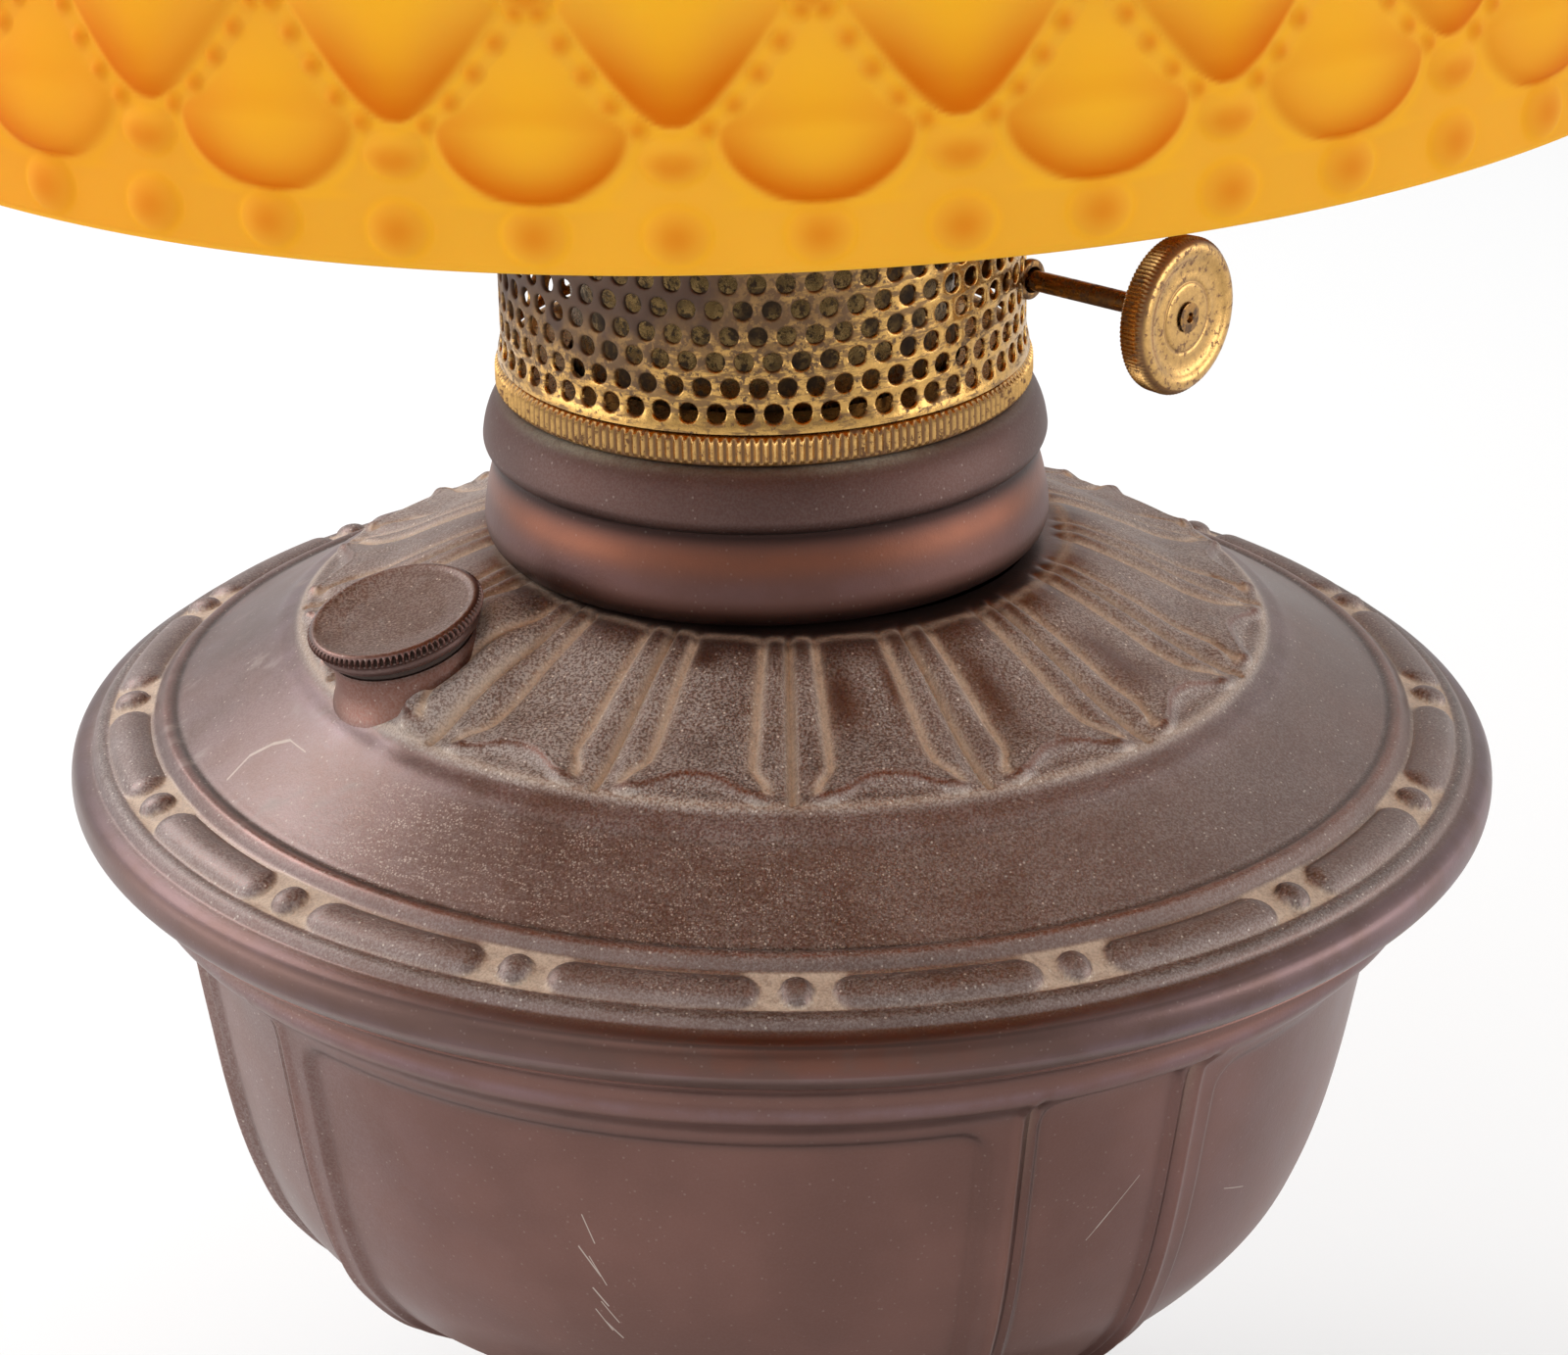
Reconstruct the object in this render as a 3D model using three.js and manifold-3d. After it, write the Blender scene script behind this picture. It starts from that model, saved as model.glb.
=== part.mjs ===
// Electrified parlor lamp: a centre-draught oil lamp with a stamped font, whose burner now carries
// an electric socket. Lengths are millimetres, +Z is up, and the origin is the centre of the foot's
// underside. Azimuths are degrees from the front of the lamp (-Y) towards its right (+X).

import * as THREE from "three";
import { mergeVertices } from "three/addons/utils/BufferGeometryUtils.js";
import Module from "manifold-3d";

const wasm = await Module();
wasm.setup();

// Fits that every piece shares
const gap = 0.3;
const overrun = 3;
const sheet = 1.4;

// How finely the round pieces are faceted
const largeSides = 28;
const mediumSides = 20;
const smallSides = 16;
const rodSides = 10;
const weldTolerance = 1e-4;
const leastMitreShare = 0.5;

// Foot
const footRadius = 74;
const footHeight = 45.7;
const stemRadius = 31;
const footEdgeWidth = 5;
const footEdgeHeight = 3;
const plinthInset = 2;
const plinthHeight = 13;
const footHoleRadius = 20;
const ventCount = 6;
const ventRadius = 4;
const inletRadius = 3.2;
const inletFlange = 1.2;
const inletBore = 2.2;
const inletHeight = 8;

// Bowl of the font, with four wide and four narrow sunk panels
const bowlHeight = 88.4;
const bowlRadius = 84.5;
const bowlLipInset = 5.1;
const bowlLipWidth = 5;
const panelDepth = 0.9;
const panelRidge = 0.5;
const panelCrease = 0.3;
const narrowPanelAzimuth = 29.5;
const narrowPanelHalfAngle = 9.25;
const panelRidgeAngle = 1.9;
const panelEdgeAngle = 3.8;
const widePanelAngle = 34;

// Shoulder of the font, with its rosette of petals and its bead-and-bar border
const shoulderRise = 36.7;
const rimRadius = 98.3;
const petalCount = 16;
const stepsPerPetal = 4;
const petalPhase = 0.5;
const petalRelief = 1.2;
const borderRelief = 1.1;

// Collar between the font and the burner
const collarHeight = 21.8;
const collarRadius = 36.7;
const torusSwell = 1.8;
const collarBore = 32.3;

// Draught tube
const draughtBore = 12;
const draughtWall = 0.8;
const draughtHeight = 183;
const draughtFoot = 2.7;

// Burner: knurled ring, pierced basket, inner tube and cap
const knurlHeight = 4.1;
const knurlTeeth = 22;
const knurlDepth = 0.5;
const plugDepth = 5;
const basketRadius = 35.6;
const basketWall = 0.8;
const basketHeight = 37.8;
const basketFlare = 0.3;
const holesPerRow = 24;
const holeRows = 4;
const holeWidth = 5.6;
const holeHeight = 5.6;
const basketBottomBand = 2.4;
const basketTopBand = 3.6;
const burnerTubeRadius = 25.8;
const burnerTubeWall = 0.8;
const burnerTubeDrop = 4;
const burnerTubeHeadroom = 4;
const burnerCapThickness = 1.5;
const burnerCapSkirt = 5;
const burnerCapFlange = 0.8;
const burnerCapBoss = 2.2;

// Wick raiser: a shaft that passes beside the lamp's axis, its pinion, and the rack on the wick carrier
const raiserAzimuth = 48.8;
const raiserOffset = 19.8;
const raiserRise = 10;
const shaftRadius = 1.4;
const shaftTail = 17.5;
const bushingRadius = 2.4;
const bushingProud = 4;
const knobRadius = 10.4;
const knobThickness = 4.7;
const knobFaceAt = 56.5;
const knobTeeth = 16;
const knobToothDepth = 0.35;
const gearModule = 0.75;
const pinionTeeth = 10;
const pinionWidth = 5;
const rackWidth = 4;
const rackTeethBelow = 7;
const rackTeethAbove = 2;
const rackBar = 1.2;
const carrierWall = 1.2;
const carrierBelow = 21;
const carrierAbove = 9;

// Filler with its cap
const fillerAzimuth = -58.5;
const fillerPlace = 57.7;
const fillerTilt = 15.8;
const fillerSkirtRadius = 12.6;
const fillerNeckRadius = 10.5;
const fillerBore = 8.3;
const fillerNeckHeight = 4.6;
const fillerSkirtDepth = 5.5;
const gasketThickness = 0.8;
const capRadius = 11.75;
const capBandRadius = 11;
const capBandHeight = 1.7;
const capRimHeight = 1.8;
const capDish = 0.7;
const capPlugDepth = 5;

// Electric fittings: lamp pipe, socket and bulb
const pipeRadius = 5.05;
const pipeBore = 3.6;
const pipeTail = 8;
const washerRadius = 18;
const washerThickness = 1.6;
const nutRadius = 8.5;
const nutThickness = 4;
const nutSides = 6;
const socketRadius = 17;
const socketWall = 0.6;
const socketCapHeight = 17;
const socketCapWall = 1;
const socketShellHeight = 38;
const socketShellStart = 9;
const linerWall = 0.6;
const socketBodyHeight = 12;
const screwShellWall = 0.5;
const screwShellHeight = 24;
const contactHeight = 1.6;
const contactRadius = 3.2;
const bulbBaseRadius = 13;
const bulbBaseHeight = 22;
const bulbTipHeight = 4;
const bulbTipRadius = 5;
const bulbRadius = 30;
const bulbHeight = 84;
const bulbWall = 0.9;
const bulbNeckRadius = 11.4;
const bulbNeckDepth = 4;
const filamentHeight = 46;
const filamentRadius = 2;
const keyRise = 5;
const keyShaftRadius = 1.9;
const keyReach = 15;
const keyBladeLength = 11;
const keyBladeWidth = 14;
const keyBladeThickness = 3;
const keyBladeSides = 6;

// Shade holder: a band round the basket, three arms and a ring inside the shade
const bandHeight = 7;
const bandWall = 1.5;
const armCount = 3;
const armAzimuth = 180;
const armWidth = 8;
const armThickness = 2;
const armSteps = 5;
const armBendLow = 16;
const armBendHigh = 32;
const ringWire = 2;
const ringSectionSides = 5;

// Glass shade
const shadeRimRise = 50;
const shadeRadius = 127;
const shadeTopRadius = 38.5;
const shadeDomeHeight = 132;
const shadeCollarHeight = 18;
const shadeWall = 3;
const shadeRoundnessShare = 0.9;
const shadeSeatShare = 0.45;
const lobeCount = 26;
const stepsPerLobe = 2;
const lobePhase = 2.9;
const quiltRelief = 1.1;

// Heights of the seams, each from the piece below it
const bowlBase = footHeight + gap;
const bowlTop = bowlBase + bowlHeight;
const shoulderBase = bowlTop + gap;
const shoulderTop = shoulderBase + shoulderRise;
const collarBase = shoulderTop + gap;
const collarTop = collarBase + collarHeight;
const knurlBase = collarTop + gap;
const knurlTop = knurlBase + knurlHeight;
const basketBase = knurlTop + gap;
const basketTop = basketBase + basketHeight;
const burnerCapBase = basketTop + gap;
const burnerCapTop = burnerCapBase + burnerCapThickness + burnerCapBoss;
const socketNutTop = burnerCapTop + gap + nutThickness;
const socketBase = socketNutTop + gap;
const socketShellBase = socketBase + socketShellStart;
const socketShellTop = socketShellBase + socketShellHeight;
const socketBodyBase = socketShellBase + socketWall + gap;
const socketBodyTop = socketBodyBase + socketBodyHeight;
const contactTop = socketBodyTop + gap + contactHeight;
const bulbBase = contactTop + gap;
const bulbShellTop = bulbBase + bulbTipHeight + bulbBaseHeight;
const draughtBase = footHeight - draughtFoot;
const draughtTop = draughtBase + draughtHeight;
const raiserHeight = basketBase + raiserRise;
const shadeRim = knurlBase + knurlHeight + shadeRimRise + basketBottomBand;

// Colours, roughness and metalness
const bronze = [0x4f3832, 0.42, 0.75];
const copper = [0x6b4034, 0.4, 0.8];
const brass = [0xb08a45, 0.35, 1];
const darkBrass = [0x7d6238, 0.45, 1];
const steel = [0x8d8f90, 0.4, 1];
const fibre = [0x2a211c, 0.9, 0];
const rubber = [0x1c1b1a, 0.8, 0];
const phenolic = [0x171413, 0.5, 0];
const amberGlass = [0xe8a23a, 0.45, 0];
const clearGlass = [0xf4f1e8, 0.1, 0];
const metalWire = [0x9a938a, 0.4, 1];

const toRadians = (degrees) => (degrees * Math.PI) / 180;
const group = new THREE.Group();

// A closed geometry as a solid, without its faces of no area
function solid(geometry) {
  const bare = geometry.clone();
  for (const name of Object.keys(bare.attributes)) {
    if (name !== "position") bare.deleteAttribute(name);
  }
  const merged = mergeVertices(bare, weldTolerance);
  const corners = merged.index.array;
  const kept = [];
  for (let i = 0; i < corners.length; i += 3) {
    const [a, b, c] = corners.subarray(i, i + 3);
    if (a !== b && b !== c && c !== a) kept.push(a, b, c);
  }
  const vertProperties = merged.attributes.position.array;
  return new wasm.Manifold(new wasm.Mesh({ numProp: 3, vertProperties, triVerts: new Uint32Array(kept) }));
}

function geometryOf(made) {
  const { numProp, numVert, vertProperties, triVerts } = made.getMesh();
  const positions = new Float32Array(numVert * 3);
  for (let i = 0; i < numVert; i++) {
    positions.set(vertProperties.subarray(i * numProp, i * numProp + 3), i * 3);
  }
  const geometry = new THREE.BufferGeometry();
  geometry.setAttribute("position", new THREE.BufferAttribute(positions, 3));
  geometry.setIndex(new THREE.BufferAttribute(new Uint32Array(triVerts), 1));
  geometry.computeVertexNormals();
  return geometry;
}

function add(name, shape, [color, roughness, metalness], parent = group) {
  const made = shape.isBufferGeometry ? solid(shape) : shape;
  const material = new THREE.MeshStandardMaterial({ color, roughness, metalness });
  const mesh = new THREE.Mesh(geometryOf(made), material);
  mesh.name = name;
  parent.add(mesh);
  return mesh;
}

const cut = (shape, ...cutters) =>
  cutters.reduce((left, cutter) => left.subtract(solid(cutter)), solid(shape));

// A faceted bore round a faceted pin: its flats clear the pin's corners
const boreFor = (radius, sides) => (radius + gap) / Math.cos(Math.PI / sides);

// An outline of [radius, height, lift] points, turned so that it runs counterclockwise
function counterclockwise(outline) {
  const area = outline.reduce((sum, [r, z], i) => {
    const [nextR, nextZ] = outline[(i + 1) % outline.length];
    return sum + r * nextZ - nextR * z;
  }, 0);
  return area < 0 ? [...outline].reverse() : outline;
}

// A closed outline revolved about Z. A point's lift raises the surface there, by an amount that
// its function gives for each azimuth's index.
function embossed(outline, azimuths) {
  const loop = counterclockwise(outline);
  const closed = [...loop, loop[0]];
  const flat = closed.map(([r, z]) => new THREE.Vector2(r, z));
  const geometry = new THREE.LatheGeometry(flat, azimuths.length);
  const place = geometry.attributes.position;
  for (let k = 0; k < place.count; k++) {
    const side = Math.floor(k / closed.length) % azimuths.length;
    const j = (k % closed.length) % loop.length;
    const [r, z, lift] = loop[j];
    const [before, after] = [loop.at(j - 1), loop[(j + 1) % loop.length]];
    const along = new THREE.Vector2(after[0] - before[0], after[1] - before[1]).normalize();
    const raised = lift ? lift(side) : 0;
    const radius = r + along.y * raised;
    const angle = toRadians(azimuths[side]);
    place.setXYZ(k, radius * Math.sin(angle), -radius * Math.cos(angle), z - along.x * raised);
  }
  return geometry;
}

const evenAzimuths = (sides, phase = 0) =>
  Array.from({ length: sides }, (_, i) => phase + (i * 360) / sides);
const turned = (outline, sides) => embossed(outline, evenAzimuths(sides));

function tube(outerRadius, innerRadius, low, high, sides) {
  return turned([[innerRadius, low], [outerRadius, low], [outerRadius, high], [innerRadius, high]], sides);
}

function rod(radius, low, high, sides) {
  return turned([[0, low], [radius, low], [radius, high], [0, high]], sides);
}

// The inner face of a sheet: an open outline moved square to itself, to its left
function inside(outline, wall) {
  const normalOf = ([r0, z0], [r1, z1]) => new THREE.Vector2(z0 - z1, r1 - r0).normalize();
  return outline.map(([r, z], i) => {
    const before = normalOf(outline[Math.max(i - 1, 0)], outline[Math.max(i, 1)]);
    const last = outline.length - 1;
    const after = normalOf(outline[Math.min(i, last - 1)], outline[Math.min(i + 1, last)]);
    const mitre = before.clone().add(after).normalize();
    const reach = wall / Math.max(mitre.dot(after), leastMitreShare);
    return [r + mitre.x * reach, z + mitre.y * reach];
  });
}

const shell = (outline, wall) => [...outline, ...inside(outline, wall).reverse()];

// Height of an outline where it crosses a radius, and its radius where it crosses a height
function crossing(outline, from, to, value) {
  for (let i = 0; i + 1 < outline.length; i++) {
    const [a, b] = [outline[i], outline[i + 1]];
    const share = (value - a[from]) / (b[from] - a[from]);
    if (share >= 0 && share <= 1) return a[to] + share * (b[to] - a[to]);
  }
  return outline.at(-1)[to];
}
const heightAt = (outline, radius) => crossing(outline, 0, 1, radius);
const radiusAt = (outline, height) => crossing(outline, 1, 0, height);

// A flat shape extruded along Z, about its own middle plane
function slab(points, thickness, holes = []) {
  const shape = new THREE.Shape(points.map(([x, y]) => new THREE.Vector2(x, y)));
  holes.forEach((hole) => shape.holes.push(new THREE.Path(hole.map(([x, y]) => new THREE.Vector2(x, y)))));
  return new THREE.ExtrudeGeometry(shape, { depth: thickness, bevelEnabled: false })
    .translate(0, 0, -thickness / 2);
}

function circlePoints(radius, sides) {
  return evenAzimuths(sides).map((a) => [radius * Math.cos(toRadians(a)), radius * Math.sin(toRadians(a))]);
}

// Foot: a plinth with a rolled edge, then a stamped flare with draught vents, and a cord inlet at the back
const plinthRadius = footRadius - plinthInset;
const flareShares = [[0.88, 0.06], [0.46, 0.24], [0.16, 0.5], [0, 0.78]];
const flareReach = plinthRadius - stemRadius;
const footFlare = flareShares.map(([out, up]) => [
  stemRadius + out * flareReach,
  plinthHeight + up * (footHeight - plinthHeight),
]);
const ventPlaceShare = 0.46;
const stemFlange = 2;

function foot() {
  const outline = [
    [footRadius - footEdgeWidth, 0],
    [footRadius, 0],
    [footRadius, footEdgeHeight],
    [plinthRadius, footEdgeHeight],
    [plinthRadius, plinthHeight],
    ...footFlare,
    [stemRadius + stemFlange, footHeight],
    [footHoleRadius, footHeight],
  ];
  const ventPlace = stemRadius + ventPlaceShare * flareReach;
  const vents = evenAzimuths(ventCount, 180 / ventCount).map((azimuth) => {
    const angle = toRadians(azimuth);
    return rod(ventRadius, plinthHeight - overrun, footHeight, rodSides)
      .translate(ventPlace * Math.sin(angle), -ventPlace * Math.cos(angle), 0);
  });
  const inletBore = boreFor(inletRadius, rodSides);
  const inlet = rod(inletBore, plinthRadius - 2 * overrun, plinthRadius + overrun, rodSides)
    .rotateX(-Math.PI / 2)
    .translate(0, 0, inletHeight);
  return cut(turned(shell(outline, sheet), mediumSides), ...vents, inlet);
}

// The bushing that lines the cord inlet, its flange outside
function cordBushing() {
  const outer = plinthRadius + gap;
  const inner = plinthRadius * Math.cos(Math.PI / mediumSides) - sheet - inletFlange;
  return turned([
    [inletBore, inner],
    [inletRadius, inner],
    [inletRadius, outer],
    [inletRadius + inletFlange, outer],
    [inletRadius + inletFlange, outer + inletFlange],
    [inletBore, outer + inletFlange],
  ], rodSides).rotateX(-Math.PI / 2).translate(0, 0, inletHeight);
}

// Bowl: each quarter turn has a narrow panel and a wide one, with a ridged crease between them
const bowlShares = [
  [0.39, 0.054], [0.6, 0.165], [0.789, 0.284], [0.878, 0.389], [0.934, 0.517], [0.978, 0.724],
];
const bowlHeadShares = [[0.996, 0.848], [1.018, 0.9], [1.063, 0.94], [1.063, 0.975]];
const bowlInnerShares = [0.36, 0.7, 0.97];
const bowlFootShare = 0.355;

function panelSteps() {
  const [crease, quarter] = [narrowPanelHalfAngle, 90];
  const half = [
    [0, -panelDepth],
    [crease - panelEdgeAngle, -panelDepth],
    [crease - panelRidgeAngle, panelRidge],
    [crease, -panelCrease],
    [crease + panelRidgeAngle, panelRidge],
    [crease + panelEdgeAngle, -panelDepth],
    [widePanelAngle, -panelDepth],
  ];
  const mirrored = half.slice(1).reverse().map(([angle, lift]) => [quarter - angle, lift]);
  const quarterSteps = [...half, ...mirrored];
  return [0, 1, 2, 3].flatMap((turn) =>
    quarterSteps.map(([angle, lift]) => [narrowPanelAzimuth + turn * quarter + angle, lift]),
  );
}

function bowl() {
  const steps = panelSteps();
  const at = ([out, up]) => [out * bowlRadius, bowlBase + up * bowlHeight];
  const lipRadius = rimRadius - bowlLipInset;
  const [footR, footZ] = at([bowlFootShare, 0]);
  const panels = bowlShares.map((share) => [...at(share), (side) => steps[side][1]]);
  const head = bowlHeadShares.map(at);
  head[0].push(() => panelRidge);
  const draughtHole = boreFor(draughtBore + draughtWall, mediumSides);
  const outer = [...panels, ...head];
  const inner = bowlInnerShares.map((up) => {
    const height = bowlBase + up * bowlHeight;
    return [radiusAt(outer, height) - sheet - panelDepth, height];
  });
  const [floorR, floorZ] = at(bowlShares[0]);
  return embossed([
    [draughtHole, bowlBase],
    [footR, footZ],
    ...outer,
    [lipRadius, bowlTop - sheet],
    [lipRadius, bowlTop],
    [lipRadius - bowlLipWidth, bowlTop],
    ...inner.reverse(),
    [floorR - sheet, floorZ + sheet + panelDepth],
    [draughtHole, bowlBase + sheet],
  ], steps.map(([azimuth]) => azimuth));
}

// Shoulder: petals round the collar, a plain slope, a bead-and-bar border and a rolled rim.
// Each row holds its radius and height as shares, and its lift at, beside and between the beads.
const petalShares = [-0.8, 0.7, -0.15];
const tipShares = [-0.9, 0.5, 1];
const borderShares = [0.9, -0.6, 0.7];
const shoulderShares = [
  [0.366, 1],
  [0.51, 0.87, petalShares],
  [0.595, 0.77, petalShares],
  [0.639, 0.752, tipShares],
  [0.673, 0.668],
  [0.847, 0.38],
  [0.865, 0.372],
  [0.887, 0.315],
  [0.908, 0.3, borderShares],
  [0.931, 0.264],
  [0.948, 0.251],
  [1, 0.12],
  [0.995, 0.05],
  [0.966, 0],
];
const shoulderInnerShares = [[0.936, 0], [0.936, 0.075], [0.672, 0.58], [0.366, 0.94]];
const shoulderRow = ([out, up]) => [out * rimRadius, shoulderBase + up * shoulderRise];
const shoulderOutline = shoulderShares.map(shoulderRow);

function liftOf(shares) {
  const height = shares === borderShares ? borderRelief : petalRelief;
  return (side) => {
    const step = side % stepsPerPetal;
    const fromGroove = Math.min(step, stepsPerPetal - step);
    return height * shares[Math.min(fromGroove, shares.length - 1)];
  };
}

function shoulder() {
  const outer = shoulderShares.map((row) => {
    const [r, z] = shoulderRow(row);
    return row[2] ? [r, z, liftOf(row[2])] : [r, z];
  });
  const inner = shoulderInnerShares.map(shoulderRow);
  const sides = petalCount * stepsPerPetal;
  const reach = fillerSkirtDepth + overrun;
  const hole = rod(boreFor(fillerSkirtRadius, mediumSides), -reach, reach, mediumSides)
    .applyMatrix4(fillerFrame);
  return cut(embossed([...outer, ...inner], evenAzimuths(sides, petalPhase)), hole);
}

// Filler: its frame stands on the shoulder and leans outwards, +Z along the neck
function leaningFrame() {
  const angle = toRadians(fillerAzimuth);
  const outward = new THREE.Vector3(Math.sin(angle), -Math.cos(angle), 0);
  const up = new THREE.Vector3(0, 0, 1);
  const tilt = toRadians(fillerTilt);
  const z = up.clone().multiplyScalar(Math.cos(tilt)).addScaledVector(outward, Math.sin(tilt));
  const x = outward.clone().multiplyScalar(Math.cos(tilt)).addScaledVector(up, -Math.sin(tilt));
  const y = new THREE.Vector3().crossVectors(z, x);
  const place = outward.clone().multiplyScalar(fillerPlace);
  place.z = heightAt(shoulderOutline, fillerPlace);
  return new THREE.Matrix4().makeBasis(x, y, z).setPosition(place);
}
const fillerFrame = leaningFrame();

const capBase = fillerNeckHeight + gap + gasketThickness + gap;
const fillerNeckShare = 0.45;
const fillerSkirtShare = 0.2;

function fillerNeck() {
  return turned([
    [fillerBore, -fillerSkirtDepth],
    [fillerSkirtRadius, -fillerSkirtDepth],
    [fillerSkirtRadius, -fillerSkirtDepth * fillerSkirtShare],
    [fillerNeckRadius, fillerNeckHeight * fillerNeckShare],
    [fillerNeckRadius, fillerNeckHeight],
    [fillerBore, fillerNeckHeight],
  ], mediumSides);
}

function fillerGasket() {
  const low = fillerNeckHeight + gap;
  return tube(capBandRadius, fillerBore, low, low + gasketThickness, mediumSides);
}

function fillerCap() {
  const plug = fillerBore * Math.cos(Math.PI / mediumSides) - gap;
  const rim = capBase + capBandHeight + capRimHeight;
  return turned([
    [0, capBase - capPlugDepth],
    [plug, capBase - capPlugDepth],
    [plug, capBase],
    [capBandRadius, capBase],
    [capBandRadius, capBase + capBandHeight],
    [capRadius, capBase + capBandHeight],
    [capRadius, rim - capDish],
    [capRadius - capDish, rim],
    [capRadius / 2, rim - capDish],
    [0, rim - capDish],
  ], mediumSides);
}

// Collar: two half-round swells with a groove between them
const swellShares = [0.14, 0.5, 0.86];
function collar() {
  const swell = (low, high) => swellShares.map((up) => [
    collarRadius + torusSwell * Math.sin(Math.PI * up),
    low + up * (high - low),
  ]);
  const middle = (collarBase + collarTop) / 2;
  return turned([
    [collarBore, collarBase],
    [collarRadius, collarBase],
    ...swell(collarBase, middle),
    [collarRadius, middle],
    ...swell(middle, collarTop),
    [collarRadius - sheet, collarTop],
    [collarBore, collarTop],
  ], largeSides);
}

// Draught tube, from below the bowl to inside the burner
const draughtRadius = draughtBore + draughtWall;
const draughtTube = () => tube(draughtRadius, draughtBore, draughtBase, draughtTop, mediumSides);

// Knurled ring at the foot of the burner, with the plug that screws into the collar
function burnerRing() {
  const teeth = (side) => (side % 2 ? -knurlDepth : 0);
  const inner = boreFor(burnerTubeRadius, mediumSides);
  const plug = collarBore * Math.cos(Math.PI / largeSides) - gap;
  const rim = basketRadius + knurlDepth;
  return embossed([
    [inner, knurlTop],
    [rim, knurlTop, teeth],
    [rim, knurlBase, teeth],
    [plug, knurlBase],
    [plug, knurlBase - plugDepth],
    [inner, knurlBase - plugDepth],
  ], evenAzimuths(knurlTeeth * 2));
}

// Pierced basket: staggered rows of four-sided holes through a thin round wall. Every hole has a
// left, right, low and high corner, and the skin is the net of triangles between those corners.
function piercedWall() {
  const corners = [];
  const faces = [];
  const half = holesPerRow * 2;
  const pitch = (2 * Math.PI) / half;
  const lowest = basketBottomBand + holeHeight / 2;
  const rise = (basketHeight - basketTopBand - holeHeight / 2 - lowest) / (holeRows - 1);
  const halfAngle = holeWidth / 2 / basketRadius;
  const wrap = (column) => (column + half) % half;
  const corner = (radius, angle, height) => {
    corners.push(radius * Math.sin(angle), -radius * Math.cos(angle), basketBase + height);
    return corners.length / 3 - 1;
  };
  const flareAt = (height) => basketFlare * Math.max(0, 1 - height / lowest);
  const skins = [basketRadius, basketRadius - basketWall].map((radius, inward) => {
    const put = (column, shift, height) =>
      corner(radius + flareAt(height), column * pitch + shift, height);
    const edge = (height, parity) => new Map(
      Array.from({ length: holesPerRow }, (_, i) => [2 * i + parity, put(2 * i + parity, 0, height)]),
    );
    const rows = Array.from({ length: holeRows }, (_, k) => new Map(
      Array.from({ length: holesPerRow }, (_, i) => {
        const column = 2 * i + (k % 2);
        const middle = lowest + k * rise;
        return [column, {
          left: put(column, -halfAngle, middle),
          right: put(column, halfAngle, middle),
          low: put(column, 0, middle - holeHeight / 2),
          high: put(column, 0, middle + holeHeight / 2),
        }];
      }),
    ));
    const bottom = edge(0, 1);
    const top = edge(basketHeight, holeRows % 2);
    const face = (a, b, c) => faces.push(...(inward ? [a, c, b] : [a, b, c]));
    rows.forEach((row, k) => row.forEach((hole, column) => {
      const next = row.get(wrap(column + 2));
      const [beside, before] = [wrap(column + 1), wrap(column - 1)];
      const below = k ? rows[k - 1].get(beside).high : bottom.get(beside);
      const above = k + 1 < holeRows ? rows[k + 1].get(beside).low : top.get(beside);
      face(hole.right, below, next.left);
      face(hole.right, next.left, above);
      if (!k) {
        face(bottom.get(before), hole.low, hole.left);
        face(bottom.get(before), bottom.get(beside), hole.low);
        face(bottom.get(beside), hole.right, hole.low);
      }
      if (k + 1 < holeRows) {
        const upRight = rows[k + 1].get(beside);
        const upLeft = rows[k + 1].get(before);
        face(hole.right, upRight.low, hole.high);
        face(upRight.low, upRight.left, hole.high);
        face(hole.high, upLeft.right, upLeft.low);
        face(hole.high, upLeft.low, hole.left);
      } else {
        face(hole.high, top.get(before), hole.left);
        face(hole.high, top.get(beside), top.get(before));
        face(hole.right, top.get(beside), hole.high);
      }
    }));
    return { rows, bottom, top };
  });
  const [outer, inner] = skins;
  const bridge = (a, b, c, d) => faces.push(a, b, c, a, c, d);
  outer.rows.forEach((row, k) => row.forEach((hole, column) => {
    const far = inner.rows[k].get(column);
    const around = ["left", "low", "right", "high"];
    around.forEach((side, i) => {
      const turn = around[(i + 1) % around.length];
      bridge(hole[side], hole[turn], far[turn], far[side]);
    });
  }));
  outer.bottom.forEach((index, column) => {
    const beside = wrap(column + 2);
    bridge(index, inner.bottom.get(column), inner.bottom.get(beside), outer.bottom.get(beside));
  });
  outer.top.forEach((index, column) => {
    const beside = wrap(column + 2);
    bridge(index, outer.top.get(beside), inner.top.get(beside), inner.top.get(column));
  });
  const geometry = new THREE.BufferGeometry();
  geometry.setAttribute("position", new THREE.BufferAttribute(new Float32Array(corners), 3));
  geometry.setIndex(faces);
  return geometry;
}

// Raiser: its frame lies on the shaft, +Z along it to the knob, +X away from the lamp's axis, +Y up
function shaftFrame() {
  const angle = toRadians(raiserAzimuth);
  const z = new THREE.Vector3(Math.sin(angle), -Math.cos(angle), 0);
  const x = new THREE.Vector3(Math.cos(angle), Math.sin(angle), 0);
  const y = new THREE.Vector3(0, 0, 1);
  const place = x.clone().multiplyScalar(raiserOffset);
  place.z = raiserHeight;
  return new THREE.Matrix4().makeBasis(x, y, z).setPosition(place);
}
const raiserFrame = shaftFrame();
const alongShaft = (radius) => Math.sqrt(radius ** 2 - raiserOffset ** 2);
const basketExit = alongShaft(basketRadius);
const burnerTubeExit = alongShaft(burnerTubeRadius);

function burnerBasket() {
  const bore = boreFor(bushingRadius, rodSides);
  const hole = rod(bore, basketExit - 2 * overrun, basketExit + overrun, rodSides)
    .applyMatrix4(raiserFrame);
  return cut(piercedWall(), hole);
}

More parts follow.
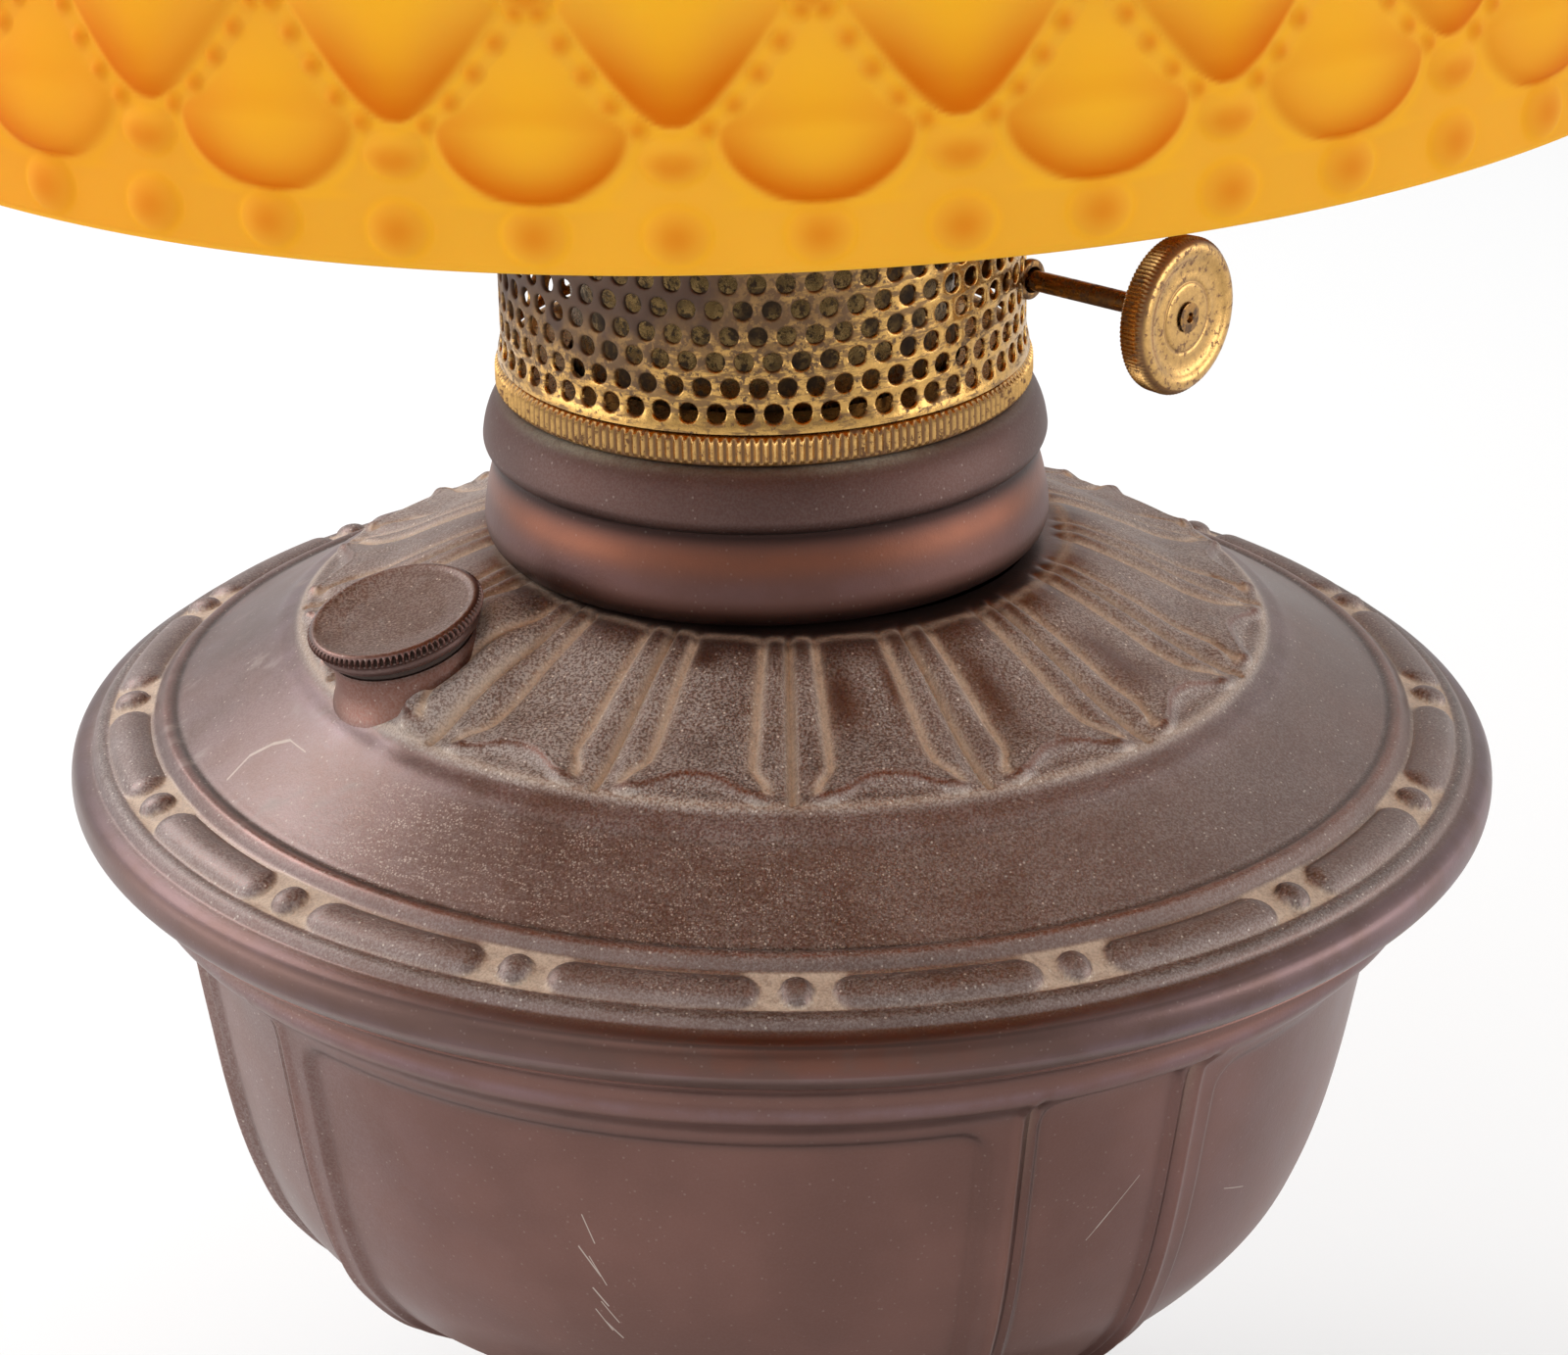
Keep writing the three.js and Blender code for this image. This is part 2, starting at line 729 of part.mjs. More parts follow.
function burnerTube() {
  const hole = rod(boreFor(shaftRadius, rodSides), -burnerTubeRadius, burnerTubeRadius, rodSides)
    .applyMatrix4(raiserFrame);
  const low = knurlBase - burnerTubeDrop;
  const high = basketTop - burnerTubeHeadroom;
  return cut(tube(burnerTubeRadius, burnerTubeRadius - burnerTubeWall, low, high, mediumSides), hole);
}

// The bushing starts clear of the burner tube's curve and stands proud of the basket
function raiserBushing() {
  const nearest = Math.sqrt(burnerTubeRadius ** 2 - (raiserOffset - bushingRadius) ** 2);
  const bore = boreFor(shaftRadius, rodSides);
  return tube(bushingRadius, bore, nearest + 2 * gap, basketExit + bushingProud, rodSides);
}

const raiserShaft = () => rod(shaftRadius, -shaftTail, knobFaceAt, rodSides);

// Knob: milled edge, and a face with a raised rim round a shallow dish and a flat hub
const knobShares = [[0.88, 1], [0.6, 0.87], [0.45, 0.95]];
function wickKnob() {
  const teeth = (side) => (side % 2 ? -knobToothDepth : 0);
  const back = knobFaceAt - knobThickness;
  const face = knobShares.map(([out, up]) => [out * knobRadius, back + up * knobThickness]);
  const chamfer = knobRadius * (1 - knobShares[0][0]);
  const bore = boreFor(shaftRadius, rodSides);
  return embossed([
    [bore, back],
    [knobRadius - chamfer, back],
    [knobRadius, back + chamfer / 2, teeth],
    [knobRadius, knobFaceAt - chamfer / 2, teeth],
    ...face,
    [bore, face.at(-1)[1]],
  ], evenAzimuths(knobTeeth * 2));
}

// Pinion and rack share one pitch, and at rest a rack tooth stands in a gap of the pinion
const pinionPitchRadius = (gearModule * pinionTeeth) / 2;
const rackPitch = Math.PI * gearModule;
const addendumShare = 0.8;
const dedendumShare = 1.1;
const toothShares = { root: 0.3, pitch: 0.21, tip: 0.1 };

function raiserPinion() {
  const step = 360 / pinionTeeth;
  const corners = [
    [-toothShares.root, -dedendumShare], [-toothShares.tip, addendumShare],
    [toothShares.tip, addendumShare], [toothShares.root, -dedendumShare],
  ];
  const outline = evenAzimuths(pinionTeeth, step / 2).flatMap((middle) =>
    corners.map(([across, height]) => {
      const angle = toRadians(middle + across * step);
      const radius = pinionPitchRadius + height * gearModule;
      return [radius * Math.cos(angle), radius * Math.sin(angle)];
    }),
  );
  return slab(outline, pinionWidth, [circlePoints(boreFor(shaftRadius, rodSides), rodSides)]);
}

function wickCarrier() {
  const inner = boreFor(draughtRadius, mediumSides);
  const outer = inner + carrierWall;
  const body = tube(outer, inner, raiserHeight - carrierBelow, raiserHeight + carrierAbove, mediumSides);
  const rootX = -pinionPitchRadius - dedendumShare * gearModule;
  const tipX = -pinionPitchRadius + addendumShare * gearModule;
  const backX = Math.min(outer * Math.cos(Math.PI / mediumSides) - raiserOffset, rootX - rackBar) - gap;
  const teeth = [];
  for (let k = -rackTeethBelow; k <= rackTeethAbove; k++) {
    const y = k * rackPitch;
    teeth.push(
      [rootX, y - toothShares.root * rackPitch], [tipX, y - toothShares.tip * rackPitch],
      [tipX, y + toothShares.tip * rackPitch], [rootX, y + toothShares.root * rackPitch],
    );
  }
  const low = -rackTeethBelow * rackPitch - rackPitch / 2;
  const high = rackTeethAbove * rackPitch + rackPitch / 2;
  const outline = [[backX, low], [rootX, low], ...teeth, [rootX, high], [backX, high]];
  return solid(body).add(solid(slab(outline, rackWidth).applyMatrix4(raiserFrame)));
}

// Cap that closes the basket and centres the lamp pipe
function burnerCap() {
  const bore = boreFor(pipeRadius, rodSides);
  const skirt = (basketRadius - basketWall) * Math.cos(Math.PI / holesPerRow) - gap / 2;
  const flange = basketRadius + burnerCapFlange;
  const plate = burnerCapBase + burnerCapThickness;
  return turned([
    [bore, burnerCapBase],
    [skirt - sheet, burnerCapBase],
    [skirt - sheet, burnerCapBase - burnerCapSkirt],
    [skirt, burnerCapBase - burnerCapSkirt],
    [skirt, burnerCapBase],
    [flange, burnerCapBase],
    [flange, plate],
    [nutRadius + burnerCapBoss, burnerCapTop],
    [bore, burnerCapTop],
  ], mediumSides);
}

// Electric fittings
const pipeBottom = draughtBase - gap - washerThickness - gap - nutThickness - pipeTail;
const pipeTop = socketBase + socketCapWall + overrun;
const lampPipe = () => tube(pipeRadius, pipeBore, pipeBottom, pipeTop, rodSides);
const pipeHole = boreFor(pipeRadius, rodSides);

function nut(low) {
  return slab(circlePoints(nutRadius, nutSides), nutThickness, [circlePoints(pipeHole, rodSides)])
    .translate(0, 0, low + nutThickness / 2);
}

function pipeWasher() {
  const top = draughtBase - gap;
  return tube(washerRadius, pipeHole, top - washerThickness, top, smallSides);
}

const capOuterRadius = boreFor(socketRadius, smallSides) + socketCapWall;
const capCrownShare = 0.55;
function socketCap() {
  const shoulderAt = socketBase + socketShellStart - gap;
  return turned(shell([
    [pipeHole, socketBase],
    [capOuterRadius * capCrownShare, socketBase],
    [capOuterRadius, shoulderAt],
    [capOuterRadius, socketBase + socketCapHeight],
  ], socketCapWall), smallSides);
}

// The key's shaft enters the socket's shell and its liner on the left, square to the lamp's axis
const keyHeight = socketBase + socketCapHeight + keyRise;
const keyHole = () => rod(boreFor(keyShaftRadius, rodSides), 0, socketRadius + overrun, rodSides)
  .rotateY(-Math.PI / 2)
  .translate(0, 0, keyHeight);

function socketShell() {
  const inner = socketRadius - socketWall;
  return cut(turned([
    [inner - overrun, socketShellBase],
    [socketRadius, socketShellBase],
    [socketRadius, socketShellTop],
    [inner, socketShellTop],
    [inner, socketShellBase + socketWall],
    [inner - overrun, socketShellBase + socketWall],
  ], smallSides), keyHole());
}

const linerRadius = (socketRadius - socketWall) * Math.cos(Math.PI / smallSides) - gap;
function socketLiner() {
  const inner = linerRadius - linerWall;
  return cut(tube(linerRadius, inner, socketBodyBase, socketShellTop - gap, smallSides), keyHole());
}

const bodyRadius = (linerRadius - linerWall) * Math.cos(Math.PI / smallSides) - gap;
const socketBody = () => rod(bodyRadius, socketBodyBase, socketBodyTop, smallSides);

function screwShell() {
  const inner = boreFor(bulbBaseRadius, smallSides);
  const low = socketBodyTop + gap;
  return tube(inner + screwShellWall, inner, low, low + screwShellHeight, smallSides);
}

const centreContact = () => rod(contactRadius, socketBodyTop + gap, contactTop, rodSides);

// Key: a round shaft with a flat oval blade, along -X
function switchKey() {
  const start = bodyRadius + gap;
  const end = socketRadius + keyReach;
  const shaft = rod(keyShaftRadius, start, end, rodSides);
  const blade = evenAzimuths(keyBladeSides).map((a) => [
    (keyBladeWidth / 2) * Math.cos(toRadians(a)),
    (keyBladeLength / 2) * Math.sin(toRadians(a)),
  ]);
  const bladeSlab = slab(blade, keyBladeThickness).rotateX(Math.PI / 2).translate(0, 0, end);
  return solid(shaft).add(solid(bladeSlab));
}

function bulbBasePiece() {
  const shellBase = bulbBase + bulbTipHeight;
  const inner = boreFor(bulbNeckRadius, smallSides);
  return turned([
    [0, bulbBase],
    [bulbTipRadius, bulbBase],
    [bulbBaseRadius, shellBase],
    [bulbBaseRadius, bulbShellTop],
    [inner, bulbShellTop],
    [inner, bulbShellTop - bulbNeckDepth - 2 * gap],
    [0, bulbShellTop - bulbNeckDepth - 2 * gap],
  ], smallSides);
}

// Envelope: a pear-shaped skin, open inside the base
const bulbShares = [[0.55, 0.24], [0.92, 0.5], [1, 0.66], [0.8, 0.89]];
function bulbGlass() {
  const low = bulbShellTop - bulbNeckDepth;
  const skin = (wall) => [
    [bulbNeckRadius - wall, low],
    [bulbNeckRadius - wall, bulbShellTop],
    ...bulbShares.map(([out, up]) => [out * (bulbRadius - wall), bulbShellTop + up * (bulbHeight - wall)]),
    [0, bulbShellTop + bulbHeight - wall],
  ];
  return turned([...skin(0), ...skin(bulbWall).reverse()], smallSides);
}

// Glass stem and filament, standing on the base inside the envelope
function bulbStem() {
  const low = bulbShellTop - bulbNeckDepth - gap;
  const foot = bulbNeckRadius - bulbWall - 2 * gap;
  return turned([
    [0, low], [foot, low], [filamentRadius, low + foot], [filamentRadius, low + filamentHeight],
    [0, low + filamentHeight],
  ], smallSides / 2);
}

// Shade: a superellipse dome, from the upright rim to a short collar
function domePoint(share, inward = 0) {
  const angle = (share * Math.PI) / 2;
  const across = Math.cos(angle) ** shadeRoundnessShare;
  const up = Math.sin(angle) ** shadeRoundnessShare;
  const reach = shadeRadius - shadeTopRadius;
  const radius = shadeTopRadius - inward + reach * Math.max(across, 0);
  return [radius, shadeRim + (shadeDomeHeight - inward) * up];
}

// Quilted rows, up to near the collar: at each row the lobes stand out at one azimuth and meet at the
// next. They keep their form, so they shrink with the dome's radius
const domeRowShares = [
  0.029, 0.059, 0.127, 0.2, 0.275, 0.351, 0.429, 0.506, 0.581, 0.654, 0.722, 0.785, 0.841,
];
const domeTopShares = [0.91, 1];
const domeInnerShares = [0.2, 0.4, 0.6, 0.8, 1];
const lobeShares = [1, -0.8];

function quilt(row, radius) {
  if (!row) return () => 0;
  const relief = quiltRelief * (radius / shadeRadius);
  return (side) => relief * lobeShares[(side + row + 1) % stepsPerLobe];
}

// The smooth inside of the glass is cut out with fewer facets than the quilted outside
const domeInner = domeInnerShares.map((share) => domePoint(share, shadeWall));
const cavityRadius = shadeRadius - shadeWall;
const cavitySides = 40;
const shadeTop = shadeRim + shadeDomeHeight + shadeCollarHeight;
const domeRows = domeRowShares.map((share, row) => {
  const [radius, height] = domePoint(share);
  return [radius, height, quilt(row, radius)];
});

function glassShade() {
  const outside = embossed([
    [0, shadeRim],
    [shadeRadius, shadeRim],
    ...domeRows,
    ...domeTopShares.map((share) => domePoint(share)),
    [shadeTopRadius, shadeTop],
    [0, shadeTop],
  ], evenAzimuths(lobeCount * stepsPerLobe, lobePhase));
  const cavity = turned([
    [0, shadeRim - overrun],
    [cavityRadius, shadeRim - overrun],
    [cavityRadius, shadeRim],
    ...domeInner,
    [shadeTopRadius - shadeWall, shadeTop + overrun],
    [0, shadeTop + overrun],
  ], cavitySides);
  return cut(outside, cavity);
}

// The holder's ring bears on the inside of the dome
const innerOutline = [[cavityRadius, shadeRim], ...domeInner];
const ringHeight = shadeRim + shadeSeatShare * shadeDomeHeight;
const ringSection = circlePoints(ringWire, ringSectionSides);
const ringReach = ringSection.map(([out, up]) => radiusAt(innerOutline, ringHeight + up) - out);
const ringRadius = Math.min(...ringReach) - gap;

function shadeRing() {
  return turned(ringSection.map(([out, up]) => [ringRadius + out, ringHeight + up]), cavitySides);
}

const bandInner = boreFor(basketRadius, mediumSides);
const bandOuter = bandInner + bandWall;
function shadeBand() {
  const top = burnerCapBase - gap;
  return tube(bandOuter, bandInner, top - bandHeight, top, mediumSides);
}

// Arm: a bent strip, up the band and out to the underside of the ring
function shadeArm(azimuth) {
  const bottom = burnerCapBase - gap - bandHeight;
  const start = bandOuter + gap + armThickness;
  const clear = burnerCapTop + overrun;
  const rise = ringHeight - ringWire - gap;
  const bend = new THREE.CubicBezierCurve(
    new THREE.Vector2(start, clear),
    new THREE.Vector2(start + armWidth, clear + armBendLow),
    new THREE.Vector2(ringRadius, rise - armBendHigh),
    new THREE.Vector2(ringRadius, rise),
  );
  const path = [[start, bottom], ...bend.getPoints(armSteps).map(({ x, y }) => [x, y])];
  const shape = shell(path, armThickness);
  return slab(shape, armWidth).rotateX(Math.PI / 2).rotateZ(toRadians(azimuth - 90));
}

add("foot", foot(), bronze);
add("cord_bushing", cordBushing(), darkBrass);
add("font_bowl", bowl(), bronze);
add("font_shoulder", shoulder(), bronze);
add("font_collar", collar(), copper);
add("draught_tube", draughtTube(), darkBrass);

const filler = new THREE.Group();
filler.applyMatrix4(fillerFrame);
group.add(filler);
add("filler_neck", fillerNeck(), copper, filler);
add("filler_gasket", fillerGasket(), rubber, filler);
add("filler_cap", fillerCap(), bronze, filler);

add("burner_ring", burnerRing(), brass);
add("burner_basket", burnerBasket(), brass);
add("burner_tube", burnerTube(), brass);
add("burner_cap", burnerCap(), brass);
add("wick_carrier", wickCarrier(), darkBrass);

const raiser = new THREE.Group();
raiser.applyMatrix4(raiserFrame);
group.add(raiser);
add("raiser_bushing", raiserBushing(), darkBrass, raiser);
add("raiser_shaft", raiserShaft(), darkBrass, raiser);
add("raiser_pinion", raiserPinion(), brass, raiser);
add("wick_knob", wickKnob(), brass, raiser);

add("lamp_pipe", lampPipe(), steel);
add("pipe_washer", pipeWasher(), steel);
add("pipe_nut", nut(pipeBottom + pipeTail), steel);
add("socket_nut", nut(burnerCapTop + gap), brass);
add("socket_cap", socketCap(), brass);
add("socket_shell", socketShell(), brass);
add("socket_liner", socketLiner(), fibre);
add("socket_body", socketBody(), phenolic);
add("screw_shell", screwShell(), brass);
add("centre_contact", centreContact(), brass);

const key = new THREE.Group();
key.position.z = keyHeight;
key.rotation.y = -Math.PI / 2;
group.add(key);
add("switch_key", switchKey(), darkBrass, key);

add("bulb_base", bulbBasePiece(), brass);
add("bulb_glass", bulbGlass(), clearGlass);
add("bulb_stem", bulbStem(), metalWire);

add("shade_band", shadeBand(), brass);
evenAzimuths(armCount, armAzimuth).forEach((azimuth, i) => {
  add("shade_arm_" + (i + 1), shadeArm(azimuth), brass);
});
add("shade_ring", shadeRing(), brass);
add("glass_shade", glassShade(), amberGlass);

export default group;
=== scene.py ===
import math

import bmesh
import bpy
import numpy as np
from mathutils import Matrix, Vector


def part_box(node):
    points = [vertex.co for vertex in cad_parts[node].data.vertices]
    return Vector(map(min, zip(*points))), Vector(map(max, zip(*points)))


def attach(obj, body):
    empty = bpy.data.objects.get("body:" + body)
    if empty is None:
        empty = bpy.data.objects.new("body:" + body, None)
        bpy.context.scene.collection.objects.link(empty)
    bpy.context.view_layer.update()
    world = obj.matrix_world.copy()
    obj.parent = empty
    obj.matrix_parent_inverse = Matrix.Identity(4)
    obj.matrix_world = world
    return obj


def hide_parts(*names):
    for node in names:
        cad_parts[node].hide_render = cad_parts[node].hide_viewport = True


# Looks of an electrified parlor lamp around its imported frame. Lengths are millimetres until a mesh
# is made, heights are above the table, and azimuths are degrees from the front (-Y) towards +X.
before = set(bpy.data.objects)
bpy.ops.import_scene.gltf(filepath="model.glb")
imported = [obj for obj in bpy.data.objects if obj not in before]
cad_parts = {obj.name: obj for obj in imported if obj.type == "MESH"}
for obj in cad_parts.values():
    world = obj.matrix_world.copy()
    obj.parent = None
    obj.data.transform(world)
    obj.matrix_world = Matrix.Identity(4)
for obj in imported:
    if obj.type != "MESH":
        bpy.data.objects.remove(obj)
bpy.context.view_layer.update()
MM = 0.001

# Camera of the photograph
CAMERA_PLACE = (0.0, -623.5, 413.1)
CAMERA_YAW, CAMERA_PITCH, CAMERA_ROLL = 0.17, 22.94, -1.15
LENS, SENSOR = 111.9, 36.0

# The font leans a little on its foot, and the loose shade sits a little lower on its left
BURNER_LEVEL = 200.0
FONT_LEAN, FONT_NOD = 1.28, 0.26
FONT_SHIFT = (2.755, 0.0, 0.0)
SHADE_LEAN, SHADE_DROP = -0.78, -0.7


# ---------------------------------------------------------------- frame sizes
def span(node):
    """Lowest and highest point of a node."""
    low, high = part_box(node)
    return low.z / MM, high.z / MM


def reach(node):
    """Half of a round node's width."""
    low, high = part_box(node)
    return (high.x - low.x) / 2 / MM


FOOT_TOP = span("foot")[1]
BOWL_BASE = span("font_bowl")[0]
SHOULDER_BASE = span("font_shoulder")[0]
COLLAR_BASE, COLLAR_TOP = span("font_collar")
BASKET_BASE, BASKET_TOP = span("burner_basket")
SHADE_RIM, SHADE_TOP = span("glass_shade")


def leaning(lean, nod, shift, level):
    """A small lean about Y and X around a point on the axis, then a shift."""
    pivot = Matrix.Translation((0, 0, level))
    turn = Matrix.Rotation(math.radians(lean), 4, "Y") @ Matrix.Rotation(math.radians(nod), 4, "X")
    return Matrix.Translation(shift) @ pivot @ turn @ pivot.inverted()


FONT_PLACE = leaning(FONT_LEAN, FONT_NOD, FONT_SHIFT, BURNER_LEVEL)
SHADE_PLACE = leaning(SHADE_LEAN, 0, (0, 0, SHADE_DROP), SHADE_RIM)


# ---------------------------------------------------------------- mesh tools
SHARP_ANGLE = 40


def smoothstep(low, high, value):
    """0 up to low, 1 from high on and smooth between them; low may be the larger."""
    share = np.clip((value - low) / (high - low), 0, 1)
    return share * share * (3 - 2 * share)


def bell(value, width):
    """1 at 0, falling to 0.37 at that width on either side."""
    return np.exp(-((value / width) ** 2))


def build(name, points, faces, place=None, sharp=SHARP_ANGLE, **layers):
    """A smooth-shaded object from points and faces of equally many corners, with float layers."""
    points = np.asarray(points, float).reshape(-1, 3)
    if place is not None:
        matrix = np.array(place)
        points = points @ matrix[:3, :3].T + matrix[:3, 3]
    mesh = bpy.data.meshes.new(name)
    mesh.vertices.add(len(points))
    mesh.vertices.foreach_set("co", (points * MM).astype(np.float32).ravel())
    faces = np.asarray(faces, np.int32)
    mesh.loops.add(faces.size)
    mesh.loops.foreach_set("vertex_index", faces.ravel())
    mesh.polygons.add(len(faces))
    starts = np.arange(0, faces.size, faces.shape[1], dtype=np.int32)
    mesh.polygons.foreach_set("loop_start", starts)
    for layer, values in layers.items():
        made = mesh.attributes.new(layer, "FLOAT", "POINT")
        values = np.asarray(values, np.float32).ravel()
        made.data.foreach_set("value", np.broadcast_to(values, len(points)))
    mesh.update(calc_edges=True)
    mesh.polygons.foreach_set("use_smooth", np.ones(len(faces), bool))
    mesh.set_sharp_from_angle(angle=math.radians(sharp))
    piece = bpy.data.objects.new(name, mesh)
    bpy.context.scene.collection.objects.link(piece)
    return piece


def weld(piece, distance=1e-7):
    """Joins points that coincide, so that faces at the axis become triangles."""
    made = bmesh.new()
    made.from_mesh(piece.data)
    bmesh.ops.remove_doubles(made, verts=made.verts, dist=distance)
    made.to_mesh(piece.data)
    made.free()
    piece.data.update()
    return piece


def grid_faces(rows, columns, closed=True):
    """Faces between rows of points that run round the axis."""
    i = np.arange(rows if closed else rows - 1)[:, None]
    j = np.arange(columns)[None]
    after, beside = (i + 1) % rows, (j + 1) % columns
    corners = [i * columns + j, i * columns + beside, after * columns + beside, after * columns + j]
    return np.stack(corners, -1).reshape(-1, 4)


def spread(values, shape):
    """One value, one for each row or one for each point, given to every point of a grid."""
    values = np.asarray(values, float)
    return np.broadcast_to(values[:, None] if values.ndim == 1 else values, shape)


def lathe(name, radii, heights, azimuths, closed=True, place=None, sharp=SHARP_ANGLE, **layers):
    """A surface of revolution. Its radii, heights and layers may differ at each azimuth. The section
    runs counterclockwise, with the axis on its left."""
    angles = np.radians(azimuths)
    shape = (len(radii), len(angles))
    r, z = spread(radii, shape), spread(heights, shape)
    points = np.stack([r * np.sin(angles), -r * np.cos(angles), z], -1)
    layers = {key: spread(values, shape) for key, values in layers.items()}
    return build(name, points, grid_faces(*shape, closed), place, sharp, **layers)


def skin(name, radii, heights, rest, base, azimuths, place, **layers):
    """A lathe whose section is a detailed outside and then the plain points of rest, which have 0 on
    every layer."""
    shown, plain = (len(radii), len(azimuths)), (len(rest), len(azimuths))

    def joined(values, rest_values):
        return np.concatenate([spread(values, shown), spread(rest_values, plain)])

    layers = {key: joined(values, 0.0) for key, values in layers.items()}
    radii, heights = joined(radii, rest[:, 0]), joined(heights, rest[:, 1]) + base
    return lathe(name, radii, heights, azimuths, place=place, **layers)


def even(count, phase=0.0):
    """Azimuths at equal steps all round."""
    return phase + np.arange(count) * 360 / count


def lengths_along(path):
    """Distance along a path at each of its points."""
    return np.concatenate([[0], np.cumsum(np.linalg.norm(np.diff(path, axis=0), axis=1))])


def directions(path):
    """Unit direction of a path at each of its points."""
    ahead = np.gradient(path, axis=0)
    return ahead / np.linalg.norm(ahead, axis=1)[:, None]


def spline(points, step):
    """A smooth curve through the points, cut into lengths of about one step."""
    p = np.array(points, float)
    t = lengths_along(p)
    slope = np.gradient(p, t, axis=0)
    at = np.linspace(0, t[-1], max(int(t[-1] / step), 2) + 1)
    i = np.clip(np.searchsorted(t, at, side="right") - 1, 0, len(t) - 2)
    h = (t[i + 1] - t[i])[:, None]
    u = (at - t[i])[:, None] / h
    start, leave = (1 + 2 * u) * (1 - u) ** 2, u * (1 - u) ** 2
    end, arrive = u * u * (3 - 2 * u), u * u * (u - 1)
    return start * p[i] + leave * h * slope[i] + end * p[i + 1] + arrive * h * slope[i + 1]


def rounded(points, fillet=0.4, steps=3, closed=True):
    """The outline with each corner off the axis turned into an arc."""
    p = [np.array(point, float) for point in points]
    made = []
    for i, corner in enumerate(p):
        open_end = not closed and i in (0, len(p) - 1)
        if open_end or corner[0] < 1e-6:
            made.append(corner)
            continue
        before, after = p[i - 1] - corner, p[(i + 1) % len(p)] - corner
        reach_of = [min(fillet, np.linalg.norm(side) * 0.45) for side in (before, after)]
        start = corner + before / np.linalg.norm(before) * reach_of[0]
        end = corner + after / np.linalg.norm(after) * reach_of[1]
        for u in np.linspace(0, 1, steps + 1):
            made.append((1 - u) ** 2 * start + 2 * u * (1 - u) * corner + u * u * end)
    return np.array(made)


def turned(name, outline, sides=96, fillet=0.3, closed=True, **options):
    """A round piece from a few corners; an open outline starts and ends on the axis."""
    section = rounded(outline, fillet, closed=closed)
    return weld(lathe(name, section[:, 0], section[:, 1], even(sides), closed=closed, **options))


def teeth(count, per_tooth):
    """Azimuths at equal steps, and a wave that is 1 on each tooth and -1 in each gap."""
    columns = count * per_tooth
    return even(columns), np.cos(np.arange(columns) * 2 * np.pi / per_tooth)[None]


def ring_outline(inner, outer, low, high):
    """Corners of a plain ring's section."""
    return [(inner, low), (outer, low), (outer, high), (inner, high)]


def normals_of(path):
    """Unit normals of a path that runs up the outside: to its right."""
    ahead = directions(path)
    return np.stack([ahead[:, 1], -ahead[:, 0]], -1)


def fold(angle, pitch, phase=0.0):
    """Signed distance from the nearest of evenly spaced places."""
    return (np.asarray(angle) - phase + pitch / 2) % pitch - pitch / 2


